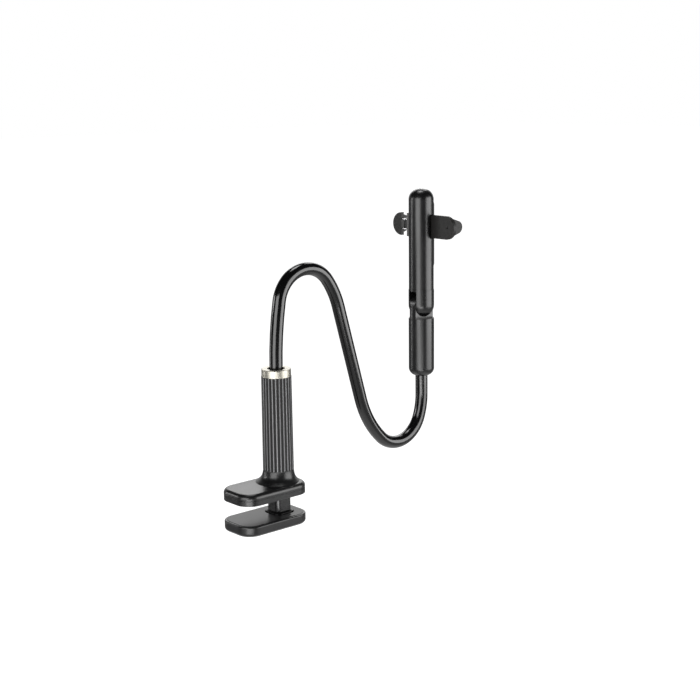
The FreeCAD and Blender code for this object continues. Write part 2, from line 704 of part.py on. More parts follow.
def make_grip():
    length = "Sizes.grip_length"
    outer = cone("grip_cone", "Sizes.grip_radius", "Sizes.grip_top_radius", length, POST_X, "0",
                 GRIP_BOTTOM)
    bore = cylinder("grip_bore_wall", "Sizes.grip_bore", length, POST_X, "0", GRIP_BOTTOM)
    lip_low = f"({LIP_TOP} - Sizes.lip_height)"
    lip_blank = cylinder("grip_lip_blank", f"Sizes.grip_bore + {OVERLAP}", "Sizes.lip_height", POST_X,
                         "0", lip_low)
    lip_hole = cylinder("grip_lip_hole", "Sizes.tube_outer + Sizes.run_clear", "Sizes.lip_height", POST_X,
                        "0", lip_low)
    lip = cut("grip_lip", lip_blank, lip_hole)
    lean = f"atan((Sizes.grip_radius - Sizes.grip_top_radius) / {length})"
    flutes = []
    for index in range(int(value("Sizes.flute_count"))):
        flute = doc.addObject("Part::Cylinder", f"grip_flute_{index + 1}")
        turn = 360.0 * index / value("Sizes.flute_count")
        spread = math.radians(turn)
        flute.Placement.Rotation = FreeCAD.Rotation(V(0, 0, 1), turn) * FreeCAD.Rotation(V(0, 1, 0),
                                                                                         -value(lean))
        bind(flute, "Radius", "Sizes.flute_radius")
        bind(flute, "Height", f"{length} + 2 * {OVERRUN}")
        out = "(Sizes.grip_radius + Sizes.flute_radius - Sizes.flute_depth)"
        place(flute, f"{POST_X} + {out} * {math.cos(spread):.9f}", f"{out} * {math.sin(spread):.9f}",
              f"{GRIP_BOTTOM} - {OVERRUN}")
        flutes.append(flute)
    sleeve = cut("grip_shell", outer, bore, *flutes)
    piece(fuse("grip_sleeve_solid", sleeve, lip), "grip_sleeve")

    ring = body("grip_ring")
    band = sketch(ring, "ring_outline", x=POST_X, z=RING_BOTTOM)
    circle(band, "Sizes.ring_radius")
    pad(ring, "ring_band", band, "Sizes.ring_height")
    dress(ring, "Fillet", "ring_outer_edge", at_level("Z", f"{RING_BOTTOM} + Sizes.ring_height"),
          "Sizes.ring_edge")
    spigot = sketch(ring, "spigot_outline", x=POST_X, z=RING_BOTTOM)
    circle(spigot, "Sizes.grip_bore - Sizes.seat_clear")
    pad(ring, "ring_spigot", spigot, "Sizes.spigot_length", True)
    hollow = sketch(ring, "spigot_bore_outline", x=POST_X, z=f"{RING_BOTTOM} - Sizes.spigot_length")
    circle(hollow, "Sizes.grip_bore - Sizes.spigot_wall")
    pocket(ring, "spigot_bore", hollow, "Sizes.spigot_length", True)
    hole = sketch(ring, "ring_bore_outline", x=POST_X, z=f"{RING_BOTTOM} + Sizes.ring_height")
    circle(hole, "Sizes.ring_bore")
    pocket(ring, "ring_hole", hole, "Sizes.ring_height + Sizes.spigot_length")


# Flexible neck: a round hose along straight runs and tangent arcs, over an arch and through a dip.

def neck_arc(point, heading, radius, turn, side):
    """One arc of the route. heading is measured from straight up towards +X; side is +1 for clockwise."""
    centre = point + V(math.cos(heading), 0, -math.sin(heading)) * (radius * side)
    edge_points = []
    for share in (0.5, 1.0):
        angle = heading + side * turn * share
        edge_points.append(centre - V(math.cos(angle), 0, -math.sin(angle)) * (radius * side))
    return Part.Arc(point, *edge_points).toShape(), edge_points[1], heading + side * turn


def make_neck():
    size = {name: value("Sizes." + name) for name in (
        "neck_radius", "neck_run", "arch_lead_radius", "arch_lead_turn", "arch_radius", "arch_turn",
        "arch_tail_radius", "arch_tail_turn", "dip_lead_radius", "dip_lead_turn", "dip_radius", "dip_turn",
        "dip_tail_radius", "capsule_bottom", "neck_insert")}
    arch = [(size["arch_lead_radius"], size["arch_lead_turn"]), (size["arch_radius"], size["arch_turn"]),
            (size["arch_tail_radius"], size["arch_tail_turn"])]
    rest = sum(turn for _, turn in arch) - size["dip_lead_turn"] - size["dip_turn"]
    dip = [(size["dip_lead_radius"], size["dip_lead_turn"]), (size["dip_radius"], size["dip_turn"]),
           (size["dip_tail_radius"], rest)]
    foot = V(value(POST_X), 0, value(NECK_FOOT))
    point, heading = V(foot.x, 0, value(NECK_START)), 0.0
    edges = [Part.LineSegment(foot, point).toShape()]
    for radius, turn in arch:
        edge, point, heading = neck_arc(point, heading, radius, math.radians(turn), 1)
        edges.append(edge)

    low = point + V(math.sin(heading), 0, math.cos(heading)) * size["neck_run"]
    edges.append(Part.LineSegment(point, low).toShape())
    point = low
    for radius, turn in dip:
        edge, point, heading = neck_arc(point, heading, radius, math.radians(turn), -1)
        edges.append(edge)
    top = V(point.x, 0, size["capsule_bottom"] + size["neck_insert"])
    edges.append(Part.LineSegment(point, top).toShape())

    route = Part.Wire(edges)
    section = Part.Wire([Part.makeCircle(size["neck_radius"], foot, V(0, 0, 1))])
    hose = route.makePipeShell([section], True, False)
    expected = math.pi * size["neck_radius"] ** 2 * route.Length
    if abs(hose.Volume - expected) > 0.002 * expected:
        raise RuntimeError("the neck's hose does not follow its route")
    neck = doc.addObject("Part::Feature", "gooseneck_solid")
    neck.Shape = hose
    neck.Placement = FreeCAD.Placement()
    piece(neck, "gooseneck")


# Lower capsule: an end cap round the neck, and a round base whose tongue carries the bar.

def make_end_cap():
    cap = body("base_end_cap")
    disc = sketch(cap, "cap_outline", x=HEAD_X, z="Sizes.capsule_bottom")
    circle(disc, "Sizes.capsule_radius")
    pad(cap, "cap_disc", disc, "Sizes.cap_height")
    dress(cap, "Fillet", "cap_dome", at_level("Z", "Sizes.capsule_bottom"), "Sizes.cap_round")
    spigot = sketch(cap, "cap_spigot_outline", x=HEAD_X, z=CAP_TOP)
    circle(spigot, "Sizes.cap_spigot_radius")
    pad(cap, "cap_spigot_ring", spigot, "Sizes.cap_spigot")
    hole = sketch(cap, "cap_hole_outline", x=HEAD_X, z=f"{CAP_TOP} + Sizes.cap_spigot")
    circle(hole, "Sizes.neck_radius + Sizes.seat_clear")
    pocket(cap, "cap_hole", hole, "Sizes.cap_height + Sizes.cap_spigot")


def make_joint_base():
    stem = cylinder("base_stem", "Sizes.capsule_radius", f"{SHOULDER} - {CAP_TOP}", HEAD_X, "0", CAP_TOP)
    post = cylinder("tongue_post", "Sizes.capsule_radius", f"{HINGE_Z} + Sizes.capsule_radius - {CAP_TOP}",
                    HEAD_X, "0", CAP_TOP)
    wide = "Sizes.capsule_radius"
    slab = box("tongue_slab", (f"{HEAD_X} - {wide}", f"{HEAD_X} + {wide}"),
               ("-Sizes.tongue_half", "Sizes.tongue_half"),
               (CAP_TOP, HINGE_Z))
    crown = cylinder("tongue_crown", f"{wide} - Sizes.slide_clear", "2 * Sizes.tongue_half", HEAD_X,
                     "-Sizes.tongue_half",
                     HINGE_Z, "Y")
    tongue = common("tongue", post, fuse("tongue_side", slab, crown))
    pin = cylinder("tongue_bore", "Sizes.pin_radius + Sizes.run_clear", "2 * Sizes.tongue_half", HEAD_X,
                   "-Sizes.tongue_half", HINGE_Z, "Y")
    neck_hole = cylinder("base_neck_bore", "Sizes.neck_radius + Sizes.seat_clear",
                         "Sizes.neck_insert - Sizes.cap_height + Sizes.seat_clear", HEAD_X, "0", CAP_TOP)
    spigot_hole = cylinder("base_spigot_bore", "Sizes.cap_spigot_radius + Sizes.seat_clear",
                           "Sizes.cap_spigot + Sizes.seat_clear", HEAD_X, "0", CAP_TOP)
    blank = fuse("base_blank", stem, tongue)
    piece(cut("joint_base_solid", blank, pin, neck_hole, spigot_hole), "joint_base")


def make_friction_washers():
    each = []
    for side, start in (("left", "Sizes.tongue_half + Sizes.seat_clear"),
                        ("right", "-(Sizes.tongue_half + Sizes.seat_clear + Sizes.friction_washer)")):
        disc = cylinder(f"friction_disc_{side}", "Sizes.friction_radius", "Sizes.friction_washer", HEAD_X,
                        start,
                        HINGE_Z, "Y")
        hole = cylinder(f"friction_hole_{side}", "Sizes.pin_radius + Sizes.slide_clear",
                        "Sizes.friction_washer", HEAD_X,
                        start, HINGE_Z, "Y")
        each.append(cut(f"friction_washer_{side}", disc, hole))
    piece(group("friction_washer_pair", *each), "friction_washers")


# Fork: two ears with a ball-shaped lower end, a slot for the tongue, and a plug into the bar.

def make_fork():
    ball = sphere("fork_ball", "Sizes.capsule_radius", HEAD_X, "0", HINGE_Z)
    stem = cylinder("fork_stem", "Sizes.capsule_radius", "Sizes.fork_top", HEAD_X, "0", HINGE_Z)
    plug = cylinder("fork_plug", "Sizes.plug_radius", "Sizes.plug_length", HEAD_X, "0", BAR_BOTTOM)
    slot = box("fork_slot", ACROSS_HEAD, (f"-{SLOT_HALF}", SLOT_HALF),
               (f"{HINGE_Z} - 2 * Sizes.capsule_radius", SLOT_TOP))
    bore = cylinder("fork_bore", "Sizes.pin_radius + Sizes.seat_clear",
                    f"Sizes.pin_reach + {PIN_HEAD_SEAT}", HEAD_X,
                    "-Sizes.pin_reach", HINGE_Z, "Y")
    sink = cylinder("fork_sink", "Sizes.pin_head + Sizes.seat_clear", "Sizes.capsule_radius", HEAD_X,
                    PIN_HEAD_SEAT, HINGE_Z, "Y")
    piece(cut("fork_solid", fuse("fork_blank", ball, stem, plug), slot, bore, sink), "fork")
    pin = screw("hinge_screw_solid", HEAD_X, PIN_HEAD_SEAT, HINGE_Z, "-Y", "Sizes.pin_radius",
                "Sizes.pin_head",
                "Sizes.pin_head_height", f"Sizes.pin_reach + {PIN_HEAD_SEAT} - Sizes.seat_clear")
    piece(pin, "hinge_screw")


# Bar: a round shell with a flat front, side slots for the grips, and a cover under a cushion.

def make_bar_shell():
    shell = body("bar_shell")
    round_outline = sketch(shell, "bar_outline", x=HEAD_X, z=BAR_BOTTOM)
    circle(round_outline, "Sizes.bar_radius")
    pad(shell, "bar_rod", round_outline, "Sizes.bar_length")
    dress(shell, "Fillet", "bar_dome", at_level("Z", BAR_TOP), "Sizes.bar_round")
    flat_middle = f"({FLAT_START} + {FLAT_END}) / 2"
    front = sketch(shell, "flat_outline", "YZ", y=flat_middle, z=FLAT_X)
    rectangle(front, "4 * Sizes.bar_radius", f"{FLAT_END} - {FLAT_START}")
    pocket(shell, "flat_front", front, "2 * Sizes.bar_radius", True)
    window = sketch(shell, "cover_seat_outline", "YZ", y=flat_middle, z=FLAT_X)
    rectangle(window, "Sizes.cover_width + 2 * Sizes.seat_clear",
              f"{COVER_END} - {COVER_START} + 2 * Sizes.seat_clear")
    pocket(shell, "cover_seat", window, "Sizes.bar_wall")
    socket = sketch(shell, "plug_socket_outline", x=HEAD_X, z=BAR_BOTTOM)
    circle(socket, "Sizes.plug_radius + Sizes.seat_clear")
    pocket(shell, "plug_socket", socket, "Sizes.plug_length + Sizes.seat_clear", True)
    for end, z in COVER_SCREWS:
        hole = sketch(shell, f"cover_bore_{end}_outline", "YZ", y=z, z=COVER_BACK)
        circle(hole, "Sizes.screw_radius / 2 + Sizes.seat_clear")
        pocket(shell, f"cover_bore_{end}", hole, "Sizes.screw_length / 2")
    # The cavity is a round bore whose front is level with the back of the cover.
    hollow = sketch(shell, "cavity_outline", x=HEAD_X, z=CAVITY_START)
    segment(hollow, "Sizes.bar_radius - Sizes.bar_wall", "Sizes.flat_reach - Sizes.bar_wall")
    pocket(shell, "cavity", hollow, f"{CAVITY_END} - {CAVITY_START}", True)
    for side, sign in (("left", 1), ("right", -1)):
        slot = sketch(shell, f"{side}_slot_outline", "XZ", x=f"({SLOT_BACK} + {SLOT_FRONT}) / 2",
                      y=GRIP_Z, z=f"{-sign} * Sizes.guide_half_width")
        rounded_rectangle(slot, f"{SLOT_FRONT} - {SLOT_BACK}", SLOT_TALL, "Sizes.slot_corner")
        pocket(shell, f"{side}_slot", slot, "Sizes.bar_radius", sign < 0)


def segment(drawing, radius, reach):
    """A circle cut off by a straight line at x = reach, centred on the sketch's own origin."""
    r, x = value(radius), value(reach)
    half = math.sqrt(r * r - x * x)
    angle = math.atan2(half, x)
    chord = drawing.addGeometry(Part.LineSegment(V(x, -half, 0), V(x, half, 0)))
    arc = drawing.addGeometry(Part.ArcOfCircle(Part.Circle(V(0, 0, 0), V(0, 0, 1), r), angle,
                                               2 * math.pi - angle))
    drawing.addConstraint(Sketcher.Constraint("Coincident", chord, 2, arc, 1))
    drawing.addConstraint(Sketcher.Constraint("Coincident", arc, 2, chord, 1))
    drawing.addConstraint(Sketcher.Constraint("Coincident", arc, 3, -1, 1))
    drawing.addConstraint(Sketcher.Constraint("Vertical", chord))
    hold(drawing, radius, "Radius", arc)
    hold(drawing, reach, "DistanceX", -1, 1, chord, 1)


def make_bar_front():
    half = "(Sizes.cover_width / 2)"
    plate = box("cover_plate", (COVER_BACK, FLAT_X), (f"-{half}", half), (COVER_START, COVER_END))
    head_seat = f"({FLAT_X} - Sizes.cover_head_sink)"
    holes, screws = [], []
    for end, z in COVER_SCREWS:
        hole = cylinder(f"cover_hole_{end}", "Sizes.screw_radius / 2 + Sizes.seat_clear",
                        "Sizes.bar_wall", COVER_BACK, "0",
                        z, "X")
        sink = cylinder(f"cover_sink_{end}", "Sizes.screw_head / 2 + Sizes.seat_clear", "Sizes.bar_wall",
                        head_seat,
                        "0", z, "X")
        holes += [hole, sink]
        shank = cylinder(f"cover_shank_{end}", "Sizes.screw_radius / 2", "Sizes.screw_length / 2",
                         f"{head_seat} - Sizes.screw_length / 2", "0", z, "X")
        cap = cylinder(f"cover_head_{end}", "Sizes.screw_head / 2", "Sizes.cover_head_height", head_seat,
                       "0", z, "X")
        screws.append(fuse(f"cover_screw_{end}", shank, cap))
    piece(cut("bar_cover_solid", plate, *holes), "bar_cover")
    piece(group("cover_screw_pair", *screws), "cover_screws")

    cushion = body("back_cushion")
    sheet_outline = sketch(cushion, "cushion_outline", "YZ", y=f"({FLAT_START} + {FLAT_END}) / 2", z=FLAT_X)
    rounded_rectangle(sheet_outline, "Sizes.cushion_width",
                      f"{FLAT_END} - {FLAT_START} - 2 * Sizes.cushion_margin", "Sizes.cushion_corner")
    pad(cushion, "cushion_sheet", sheet_outline, "Sizes.cushion_thickness")
    dress(cushion, "Fillet", "cushion_face_edge", at_level("X", f"{FLAT_X} + Sizes.cushion_thickness"),
          "Sizes.cushion_edge")


def make_slide_guide():
    """The block in the bar that guides the right arm's prongs, with a bushing for the left claw's rods."""
    tall_half = "(Sizes.arm_half + Sizes.arm_clear + Sizes.guide_margin)"
    low, high = f"{GRIP_Z} - {tall_half}", f"{GRIP_Z} + {tall_half}"
    back, front = SLOT_BACK, f"({COVER_BACK} - Sizes.slide_clear)"
    width = "Sizes.guide_half_width"
    block = box("guide_block", (back, front), (f"-{width}", width), (low, high))
    half = "(Sizes.arm_half + Sizes.arm_clear - Sizes.slide_clear)"
    face_y = "Sizes.bar_radius + Sizes.bushing_out"
    face = box("guide_face", (f"{SLOT_BACK} + Sizes.slide_clear", f"{SLOT_FRONT} - Sizes.slide_clear"),
               (width, face_y),
               (f"{GRIP_Z} - {half}", f"{GRIP_Z} + {half}"))
    tall = "(Sizes.arm_half + Sizes.slide_clear)"
    deep = (f"{ARM_BACK} - Sizes.slide_clear", f"{ARM_FRONT} + Sizes.slide_clear")
    travel = "(Sizes.prong_end + Sizes.close_travel + Sizes.slide_clear)"
    channel = box("guide_channel", deep, ("-2 * Sizes.guide_half_width", travel),
                  (f"{GRIP_Z} - {tall}", f"{GRIP_Z} + {tall}"))
    island = box("guide_island", deep, ("-Sizes.island_start", face_y),
                 (f"{GRIP_Z} - Sizes.island_half", f"{GRIP_Z} + Sizes.island_half"))
    bores = []
    for end, sign in (("high", "+"), ("low", "-")):
        bores.append(cylinder(f"guide_bore_{end}", "Sizes.rod_radius + Sizes.run_clear",
                              "4 * Sizes.bar_radius",
                              ARM_MIDDLE, "-2 * Sizes.bar_radius",
                              f"{GRIP_Z} {sign} Sizes.rod_height", "Y"))
    hollow = cut("guide_hollow", fuse("guide_blank", block, face), channel)
    piece(cut("slide_guide_solid", fuse("guide_filled", hollow, island), *bores), "slide_guide")


# Phone grips: a flat arm on the right, a claw on two rods on the left, each with a hook and a ribbed pad.

def tongue_outline(drawing, root_half, length, tip_radius):
    """A tongue from a straight root on the sketch's origin to a round tip, pointing along +x."""
    root, tip, r = value(root_half), value(length), value(tip_radius)
    centre = V(tip - r, 0, 0)
    span = math.hypot(centre.x, root)
    turn = math.atan2(root, centre.x)
    lean = math.acos(r / span)
    touch_angle = math.pi - turn - lean
    touch = centre + V(math.cos(touch_angle), math.sin(touch_angle), 0) * r
    low_touch = V(touch.x, -touch.y, 0)
    base = drawing.addGeometry(Part.LineSegment(V(0, root, 0), V(0, -root, 0)))
    low = drawing.addGeometry(Part.LineSegment(V(0, -root, 0), low_touch))
    arc = drawing.addGeometry(Part.ArcOfCircle(Part.Circle(centre, V(0, 0, 1), r), -touch_angle,
                                               touch_angle))
    high = drawing.addGeometry(Part.LineSegment(touch, V(0, root, 0)))
    drawing.addConstraint(Sketcher.Constraint("Coincident", base, 2, low, 1))
    drawing.addConstraint(Sketcher.Constraint("Tangent", low, 2, arc, 1))
    drawing.addConstraint(Sketcher.Constraint("Tangent", arc, 2, high, 1))
    drawing.addConstraint(Sketcher.Constraint("Coincident", high, 2, base, 1))
    drawing.addConstraint(Sketcher.Constraint("Symmetric", base, 1, base, 2, -1, 1))
    drawing.addConstraint(Sketcher.Constraint("Vertical", base))
    drawing.addConstraint(Sketcher.Constraint("PointOnObject", arc, 3, -1))
    hold(drawing, f"2 * ({root_half})", "DistanceY", base, 2, base, 1)
    hold(drawing, tip_radius, "Radius", arc)
    hold(drawing, f"({length}) - ({tip_radius})", "DistanceX", -1, 1, arc, 3)


def make_hook(claw, name, sign):
    """The hook on a grip: a wall beside the phone and a lip before it. sign is +1 on the left (+Y) side."""
    outer = f"{sign} * {WALL_OUTER}"
    length = f"{HOOK_TIP} - {ARM_MIDDLE}"
    backwards = sign < 0
    wall = sketch(claw, name + "_wall_outline", "XZ", x=ARM_MIDDLE, y=GRIP_Z, z=f"-({outer})")
    tongue_outline(wall, "Sizes.hook_root_half", length, "Sizes.hook_tip_radius")
    pad(claw, name + "_wall", wall, "Sizes.hook_wall + Sizes.lip_reach", backwards)
    # The space of the phone and of the pad is cleared out of the tongue, which leaves its front as the lip.
    inner = f"{sign} * {WALL_INNER}"
    middle = f"({ARM_FRONT} + {LIP_BACK}) / 2"
    room = sketch(claw, name + "_room_outline", "XZ", x=middle, y=GRIP_Z, z=f"-({inner})")
    rectangle(room, f"{LIP_BACK} - {ARM_FRONT}", "4 * Sizes.arm_half")
    pocket(claw, name + "_room", room, "Sizes.phone_half", not backwards)


def grip_outline(drawing, inner, outer):
    """The arm's plate: straight edges from the inner end to a half-round outer end, along +x."""
    start, end, r = value(inner), value(outer), value("Sizes.arm_half")
    centre = V(end - r, 0, 0)
    base = drawing.addGeometry(Part.LineSegment(V(start, r, 0), V(start, -r, 0)))
    low = drawing.addGeometry(Part.LineSegment(V(start, -r, 0), centre + V(0, -r, 0)))
    arc = drawing.addGeometry(Part.ArcOfCircle(Part.Circle(centre, V(0, 0, 1), r), -math.pi / 2,
                                               math.pi / 2))
    high = drawing.addGeometry(Part.LineSegment(centre + V(0, r, 0), V(start, r, 0)))
    drawing.addConstraint(Sketcher.Constraint("Coincident", base, 2, low, 1))
    drawing.addConstraint(Sketcher.Constraint("Tangent", low, 2, arc, 1))
    drawing.addConstraint(Sketcher.Constraint("Tangent", arc, 2, high, 1))
    drawing.addConstraint(Sketcher.Constraint("Coincident", high, 2, base, 1))
    drawing.addConstraint(Sketcher.Constraint("Vertical", base))
    drawing.addConstraint(Sketcher.Constraint("Horizontal", low))
    drawing.addConstraint(Sketcher.Constraint("PointOnObject", arc, 3, -1))
    hold(drawing, "Sizes.arm_half", "Radius", arc)
    hold(drawing, inner, "DistanceX", -1, 1, base, 1)
    hold(drawing, f"({outer}) - Sizes.arm_half", "DistanceX", -1, 1, arc, 3)


def make_right_arm():
    arm = body("right_arm")
    plate = sketch(arm, "right_plate_outline", "YZ", y=GRIP_Z, z=ARM_BACK)
    plate.AttachmentOffset.Rotation = FreeCAD.Rotation(V(0, 0, 1), 180)
    grip_outline(plate, "Sizes.web_end", "Sizes.arm_tip")
    pad(arm, "right_plate", plate, "Sizes.arm_thickness")
    prong_tall = "(Sizes.arm_half - Sizes.prong_inner)"
    for end, sign in (("high", "+"), ("low", "-")):
        prong = sketch(arm, f"prong_{end}_outline", "YZ", x="(Sizes.prong_end - Sizes.web_end) / 2",
                       y=f"{GRIP_Z} {sign} (Sizes.arm_half + Sizes.prong_inner) / 2", z=ARM_BACK)
        rectangle(prong, "Sizes.prong_end + Sizes.web_end", prong_tall)
        pad(arm, f"prong_{end}", prong, "Sizes.arm_thickness")
    make_hook(arm, "right_hook", -1)
    peg = sketch(arm, "peg_hole_outline", "YZ", x="-Sizes.peg_hole_place", y=GRIP_Z, z=ARM_BACK)
    circle(peg, "Sizes.peg_hole")
    pocket(arm, "peg_hole", peg, "Sizes.peg_hole_depth", True)
    finish_grip(arm, "right_arm", -1)


def make_left_claw():
    claw = body("left_claw")
    plate = sketch(claw, "left_plate_outline", "YZ", y=GRIP_Z, z=ARM_BACK)
    grip_outline(plate, "Sizes.claw_edge", "Sizes.arm_tip")
    pad(claw, "left_plate", plate, "Sizes.arm_thickness")
    make_hook(claw, "left_hook", 1)
    relief = sketch(claw, "claw_edge_outline", "XZ", x=ARM_MIDDLE, y=GRIP_Z, z="-Sizes.claw_edge")
    rectangle(relief, "Sizes.arm_thickness", "4 * Sizes.arm_half")
    pocket(claw, "claw_edge_relief", relief, "Sizes.claw_edge", True)
    for end, sign in (("high", "+"), ("low", "-")):
        hole = sketch(claw, f"rod_hole_{end}_outline", "XZ", x=ARM_MIDDLE,
                      y=f"{GRIP_Z} {sign} Sizes.rod_height",
                      z="-Sizes.claw_edge")
        circle(hole, "Sizes.rod_radius + Sizes.seat_clear")
        pocket(claw, f"rod_hole_{end}", hole, "Sizes.rod_insert + Sizes.seat_clear", False)
    finish_grip(claw, "left_claw", 1)
    rods = []
    for end, sign in (("high", "+"), ("low", "-")):
        rods.append(cylinder(f"guide_rod_{end}", "Sizes.rod_radius",
                             "Sizes.rod_inner_end + Sizes.claw_edge + Sizes.rod_insert", ARM_MIDDLE,
                             "-Sizes.rod_inner_end", f"{GRIP_Z} {sign} Sizes.rod_height", "Y"))
    piece(group("guide_rod_pair", *rods), "guide_rods")


def finish_grip(claw, name, sign):
    """Round the outer edge of the plate's back and the hook's outer outline."""
    back, wall = value(ARM_BACK), sign * value(WALL_OUTER)
    round_end = sign * (value("Sizes.arm_tip") - value("Sizes.arm_half"))

    def on_back(edge):
        box_ = edge.BoundBox
        beyond = min(sign * box_.YMin, sign * box_.YMax) > abs(round_end) - 1e-3
        flat = abs(box_.XMin - back) < 1e-4 and abs(box_.XMax - back) < 1e-4
        return flat and beyond and box_.ZLength > value("Sizes.arm_half")

    def on_wall(edge):
        box_ = edge.BoundBox
        flat = abs(box_.YMin - wall) < 1e-4 and abs(box_.YMax - wall) < 1e-4
        return flat and box_.XMin > value(ARM_FRONT) - 1e-3 and box_.XLength > 1e-3

    dress(claw, "Fillet", name + "_back_edge", on_back, "Sizes.arm_edge")
    dress(claw, "Fillet", name + "_hook_edge", on_wall, "Sizes.arm_edge")


def make_grip_pad(label, sign):
    """A rubber pad on the hook's wall, with upright ribs against the phone's side."""
    made = body(label)
    start = f"({ARM_FRONT} + Sizes.arm_edge)"
    length = f"({LIP_BACK} - Sizes.arm_edge - {start})"
    base = sketch(made, label + "_outline", "XZ", x=f"{start} + {length} / 2", y=GRIP_Z,
                  z=f"-({sign} * ({WALL_INNER} - Sizes.seat_clear))")
    rounded_rectangle(base, length, "Sizes.pad_tall", "Sizes.pad_corner")
    pad(made, label + "_base", base, "Sizes.pad_base", sign < 0)
    count = int(value("Sizes.pad_ribs"))
    for index in range(count):
        place_x = f"{start} + {length} * {(index + 1) / (count + 1):.9f}"
        rib = sketch(made, f"{label}_rib_{index + 1}_outline", "XZ", x=place_x, y=GRIP_Z,
                     z=f"-({sign} * ({WALL_INNER} - Sizes.seat_clear - Sizes.pad_base))")
        rectangle(rib, "Sizes.rib_width", "Sizes.rib_tall")
        pad(made, f"{label}_rib_{index + 1}", rib, "Sizes.grip_pad - Sizes.pad_base - Sizes.seat_clear",
            sign < 0)


make_upper_jaw()
make_pad("upper_jaw_pad", "0", "Sizes.column_side + 2 * Sizes.pad_hole_clear",
         "Sizes.column_corner + Sizes.pad_hole_clear")
make_lower_jaw()
foot_side = "Sizes.column_side + 2 * (Sizes.foot_out + Sizes.pad_hole_clear)"
make_pad("lower_jaw_pad", "(-Sizes.jaw_gap - Sizes.pad_thickness)", foot_side,
         "Sizes.column_corner + Sizes.foot_out + Sizes.pad_hole_clear")
make_column()
make_column_screws()
make_follower()
make_guide_tube()
make_neck_socket()
make_slip_washer()
make_grip()
make_neck()
make_end_cap()
make_joint_base()
make_friction_washers()
make_fork()
make_bar_shell()
make_bar_front()
make_slide_guide()
make_right_arm()
make_left_claw()
make_grip_pad("right_grip_pad", -1)
make_grip_pad("left_grip_pad", 1)
doc.recompute()

for made in doc.Objects:
    if "Invalid" in made.State or "Error" in made.State:
        raise RuntimeError(f"{made.Name} failed: {made.State}")
for made in pieces:
    if made.Shape.isNull() or not made.Shape.isValid():
        raise RuntimeError(f"{made.Label} has no valid shape")

os.makedirs("parts", exist_ok=True)
for made in pieces:
    made.Shape.exportStep(f"parts/{made.Label}.step")
    print(f"{made.Label}: {len(made.Shape.Solids)} solid(s), {made.Shape.Volume / 1000:.2f} cm3")
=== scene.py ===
# %% [markdown]
# # A desk phone stand
# The stand clamps to a desk edge. A twist grip closes the clamp, a flexible neck carries the
# head, and two hooked grips on a tilting bar hold a phone by its sides. The solid parts come from
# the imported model, so this lesson is about the finishes, the soft parts, the light and the
# camera.

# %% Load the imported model
import math
import bmesh
import bpy
from mathutils import Matrix, Vector


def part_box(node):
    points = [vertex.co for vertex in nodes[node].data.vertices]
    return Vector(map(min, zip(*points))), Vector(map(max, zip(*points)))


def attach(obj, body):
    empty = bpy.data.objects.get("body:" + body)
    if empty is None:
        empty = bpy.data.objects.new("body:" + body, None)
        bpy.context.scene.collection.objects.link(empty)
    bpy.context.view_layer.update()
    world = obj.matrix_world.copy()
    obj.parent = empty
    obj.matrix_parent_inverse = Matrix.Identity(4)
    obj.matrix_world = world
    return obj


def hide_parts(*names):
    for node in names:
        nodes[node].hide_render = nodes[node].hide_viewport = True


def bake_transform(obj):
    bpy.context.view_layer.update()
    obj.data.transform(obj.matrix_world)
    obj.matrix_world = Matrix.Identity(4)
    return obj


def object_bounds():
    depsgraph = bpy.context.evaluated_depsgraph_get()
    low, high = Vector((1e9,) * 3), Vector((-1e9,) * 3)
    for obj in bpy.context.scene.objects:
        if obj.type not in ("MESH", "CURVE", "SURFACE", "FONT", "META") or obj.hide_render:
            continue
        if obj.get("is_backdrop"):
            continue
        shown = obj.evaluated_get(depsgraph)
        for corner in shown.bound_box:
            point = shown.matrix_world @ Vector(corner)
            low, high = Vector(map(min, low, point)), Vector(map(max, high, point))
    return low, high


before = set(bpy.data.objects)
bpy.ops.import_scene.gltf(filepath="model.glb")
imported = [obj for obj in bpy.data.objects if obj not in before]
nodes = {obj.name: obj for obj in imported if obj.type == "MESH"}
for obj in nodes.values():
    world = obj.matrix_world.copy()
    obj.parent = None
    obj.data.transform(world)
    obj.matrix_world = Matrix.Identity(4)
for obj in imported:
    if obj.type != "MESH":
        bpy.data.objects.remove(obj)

cad_low, cad_high = (list(map(float, corner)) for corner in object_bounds())
print("nodes:", len(nodes), "box:", cad_low, cad_high)

# %% [markdown]
# ## Habits for a script without a window
# An operator works on everything that is selected, and loading leaves the model selected. So
# every step starts with nothing selected, and in edit mode the edges or faces are picked by where
# they lie.

# %% Small helpers
MM = 0.001


def clear():
    """Leave edit mode and select nothing."""
    if bpy.context.object and bpy.context.mode != "OBJECT":
        bpy.ops.object.mode_set(mode="OBJECT")
    bpy.ops.object.select_all(action="DESELECT")


def name_new(name):
    """Name the primitive that was just added and put its place into its mesh."""
    piece = bpy.context.object
    piece.name = piece.data.name = name
    bpy.ops.object.transform_apply(location=True, rotation=True, scale=True)
    return piece


def pick(piece, kind, test):
    """Select the vertices, edges or faces of a piece that pass a test, in edit mode."""
    bpy.ops.mesh.select_mode(type={"verts": "VERT", "edges": "EDGE", "faces": "FACE"}[kind])
    bpy.ops.mesh.select_all(action="DESELECT")
    mesh = bmesh.from_edit_mesh(piece.data)
    count = 0
    for element in getattr(mesh, kind):
        if test(element):
            element.select_set(True)
            count += 1
    mesh.select_flush_mode()
    bmesh.update_edit_mesh(piece.data)
    return count


def edge_way(edge):
    return (edge.verts[1].co - edge.verts[0].co).normalized()


def edge_middle(edge):
    return (edge.verts[0].co + edge.verts[1].co) / 2


def smooth(piece, angle):
    """Shade a piece smooth, with edges sharper than an angle in degrees kept crisp."""
    clear()
    piece.select_set(True)
    bpy.context.view_layer.objects.active = piece
    bpy.ops.object.shade_smooth_by_angle(angle=math.radians(angle))


